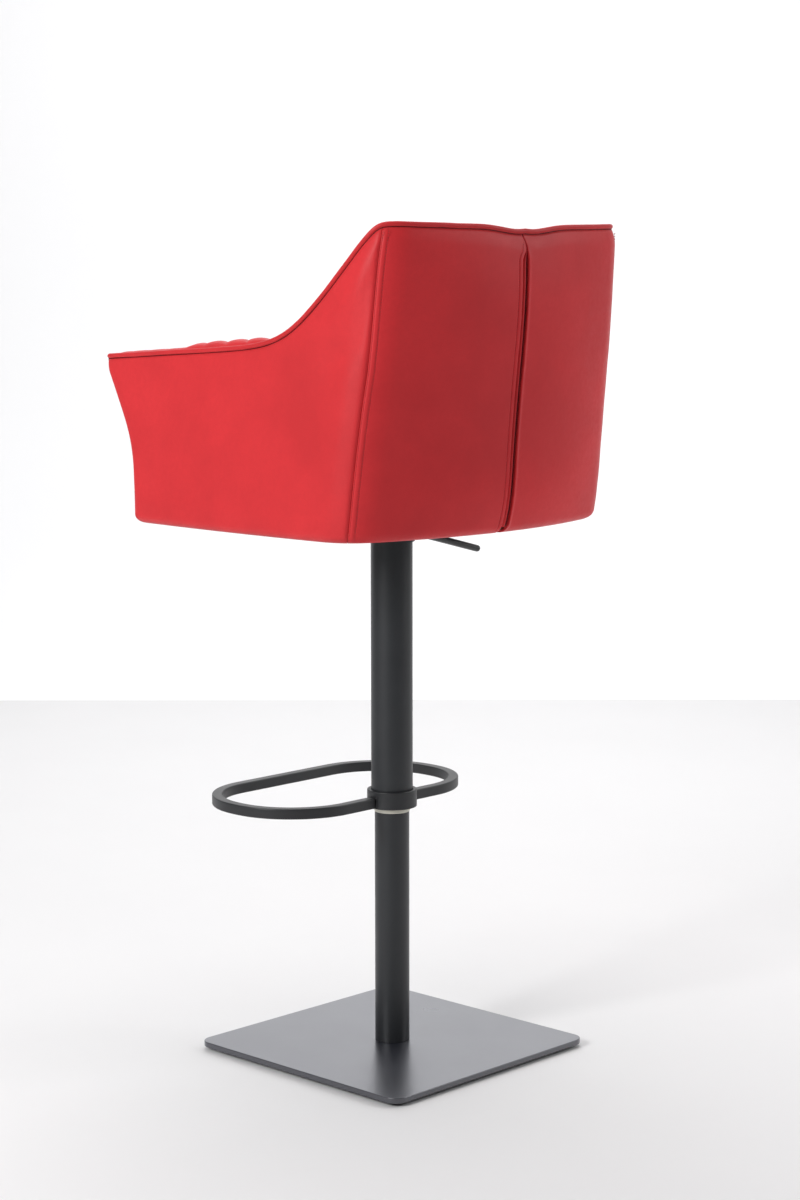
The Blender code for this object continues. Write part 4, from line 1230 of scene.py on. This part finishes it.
def stage_material(name, colour, glow=0.0, rough=0.75):
    mat, tree, shader, vec = new_material(name)
    cloud = tex_noise(tree, vec, 2.2, 4.0, 0.55)
    streak = tex_noise(tree, stretch(tree, vec, (1.0, 7.0, 1.0)), 14.0, 4.0, 0.6)
    base = mix_colour(tree, remap(tree, cloud, 0.3, 0.7, 0.0, 1.0), tuple(c * 0.985 for c in colour), colour)
    base = mix_colour(tree, remap(tree, streak, 0.55, 0.8, 0.0, 0.10), base, tuple(c * 0.93 for c in colour))
    tree.links.new(base, shader.inputs["Base Color"])
    shader.inputs["Roughness"].default_value = rough
    shader.inputs["Specular IOR Level"].default_value = 0.2
    if glow:
        # Painted light: the wall glows, a little brighter to the right, in place of a lamp lighting it from there.
        dot = tree.nodes.new("ShaderNodeVectorMath")
        dot.operation = "DOT_PRODUCT"
        dot.inputs[1].default_value = tuple(right)
        tree.links.new(vec, dot.inputs[0])
        shade = remap(tree, dot.outputs["Value"], -1.3, 0.5, 0.0, 1.0)
        tree.links.new(mix_colour(tree, shade, (0.90, 0.90, 0.92), (1.0, 1.0, 1.02)), shader.inputs["Emission Color"])
        shader.inputs["Emission Strength"].default_value = glow
    return mat


# A floor square to the camera, and a wall behind it that it turns up into.
level = Vector((fwd.x, fwd.y, 0)).normalized()


def stage_sheet(name, rows, mat):
    verts, faces = [], []
    for away, height in rows:
        for across in (-9.0, -3.0, 0.0, 3.0, 9.0):
            q = level * away + right * across
            verts.append(Vector((q.x, q.y, height)))
    for i in range(len(rows) - 1):
        for j in range(4):
            a = i * 5 + j
            faces.append((a, a + 1, a + 6, a + 5))
    sheet = link_mesh(name, verts, faces, mat)
    return sheet


WALL_PAINTED_GLOW = 0.51
stage_sheet("studio_floor", [(-9.0, 0.0), (0.0, 0.0), (3.02, 0.0)], stage_material("floor_white", (0.825, 0.820, 0.825)))
wall_rows = [(3.02 + 1.4 * math.sin(math.pi / 2 * k / 12), 1.4 * (1 - math.cos(math.pi / 2 * k / 12))) for k in range(13)] + [(4.42, 9.0)]
stage_sheet("studio_wall", wall_rows, stage_material("wall_white", (0.55, 0.55, 0.55), WALL_PAINTED_GLOW))


def area(name, where, target, size, power, colour=(1.0, 1.0, 1.0), size_y=None):
    data = bpy.data.lights.new(name, "AREA")
    data.energy = power
    data.color = colour
    data.size = size
    if size_y:
        data.shape = "RECTANGLE"
        data.size_y = size_y
    obj = bpy.data.objects.new(name, data)
    COLLECTION.objects.link(obj)
    obj.location = where
    direction = Vector(target) - Vector(where)
    obj.rotation_euler = direction.to_track_quat("-Z", "Y").to_euler()
    return obj


area("key", (3.3, -0.1, 2.1), (0.0, 0.0, 0.75), 1.3, 96.0, size_y=1.3)
area("fill_right", (-2.6, 2.6, 2.2), (0.0, 0.0, 0.8), 2.0, 60.0, size_y=2.0)
area("top", (-0.4, -0.6, 4.2), (-0.4, -0.6, 0.0), 3.5, 66.0, size_y=3.5)
area("floor_far", (-1.9, -1.8, 3.0), (-1.9, -1.8, 0.0), 2.5, 45.0, size_y=2.5)

world = bpy.data.worlds.new("studio")
bpy.context.scene.world = world
world.use_nodes = True
world.node_tree.nodes["Background"].inputs["Color"].default_value = (0.985, 0.99, 1.0, 1.0)
world.node_tree.nodes["Background"].inputs["Strength"].default_value = 0.03

scene = bpy.context.scene
scene.view_settings.view_transform = "Standard"
scene.view_settings.look = "None"
scene.view_settings.exposure = 0.0
scene.view_settings.gamma = 1.0

bpy.context.view_layer.update()
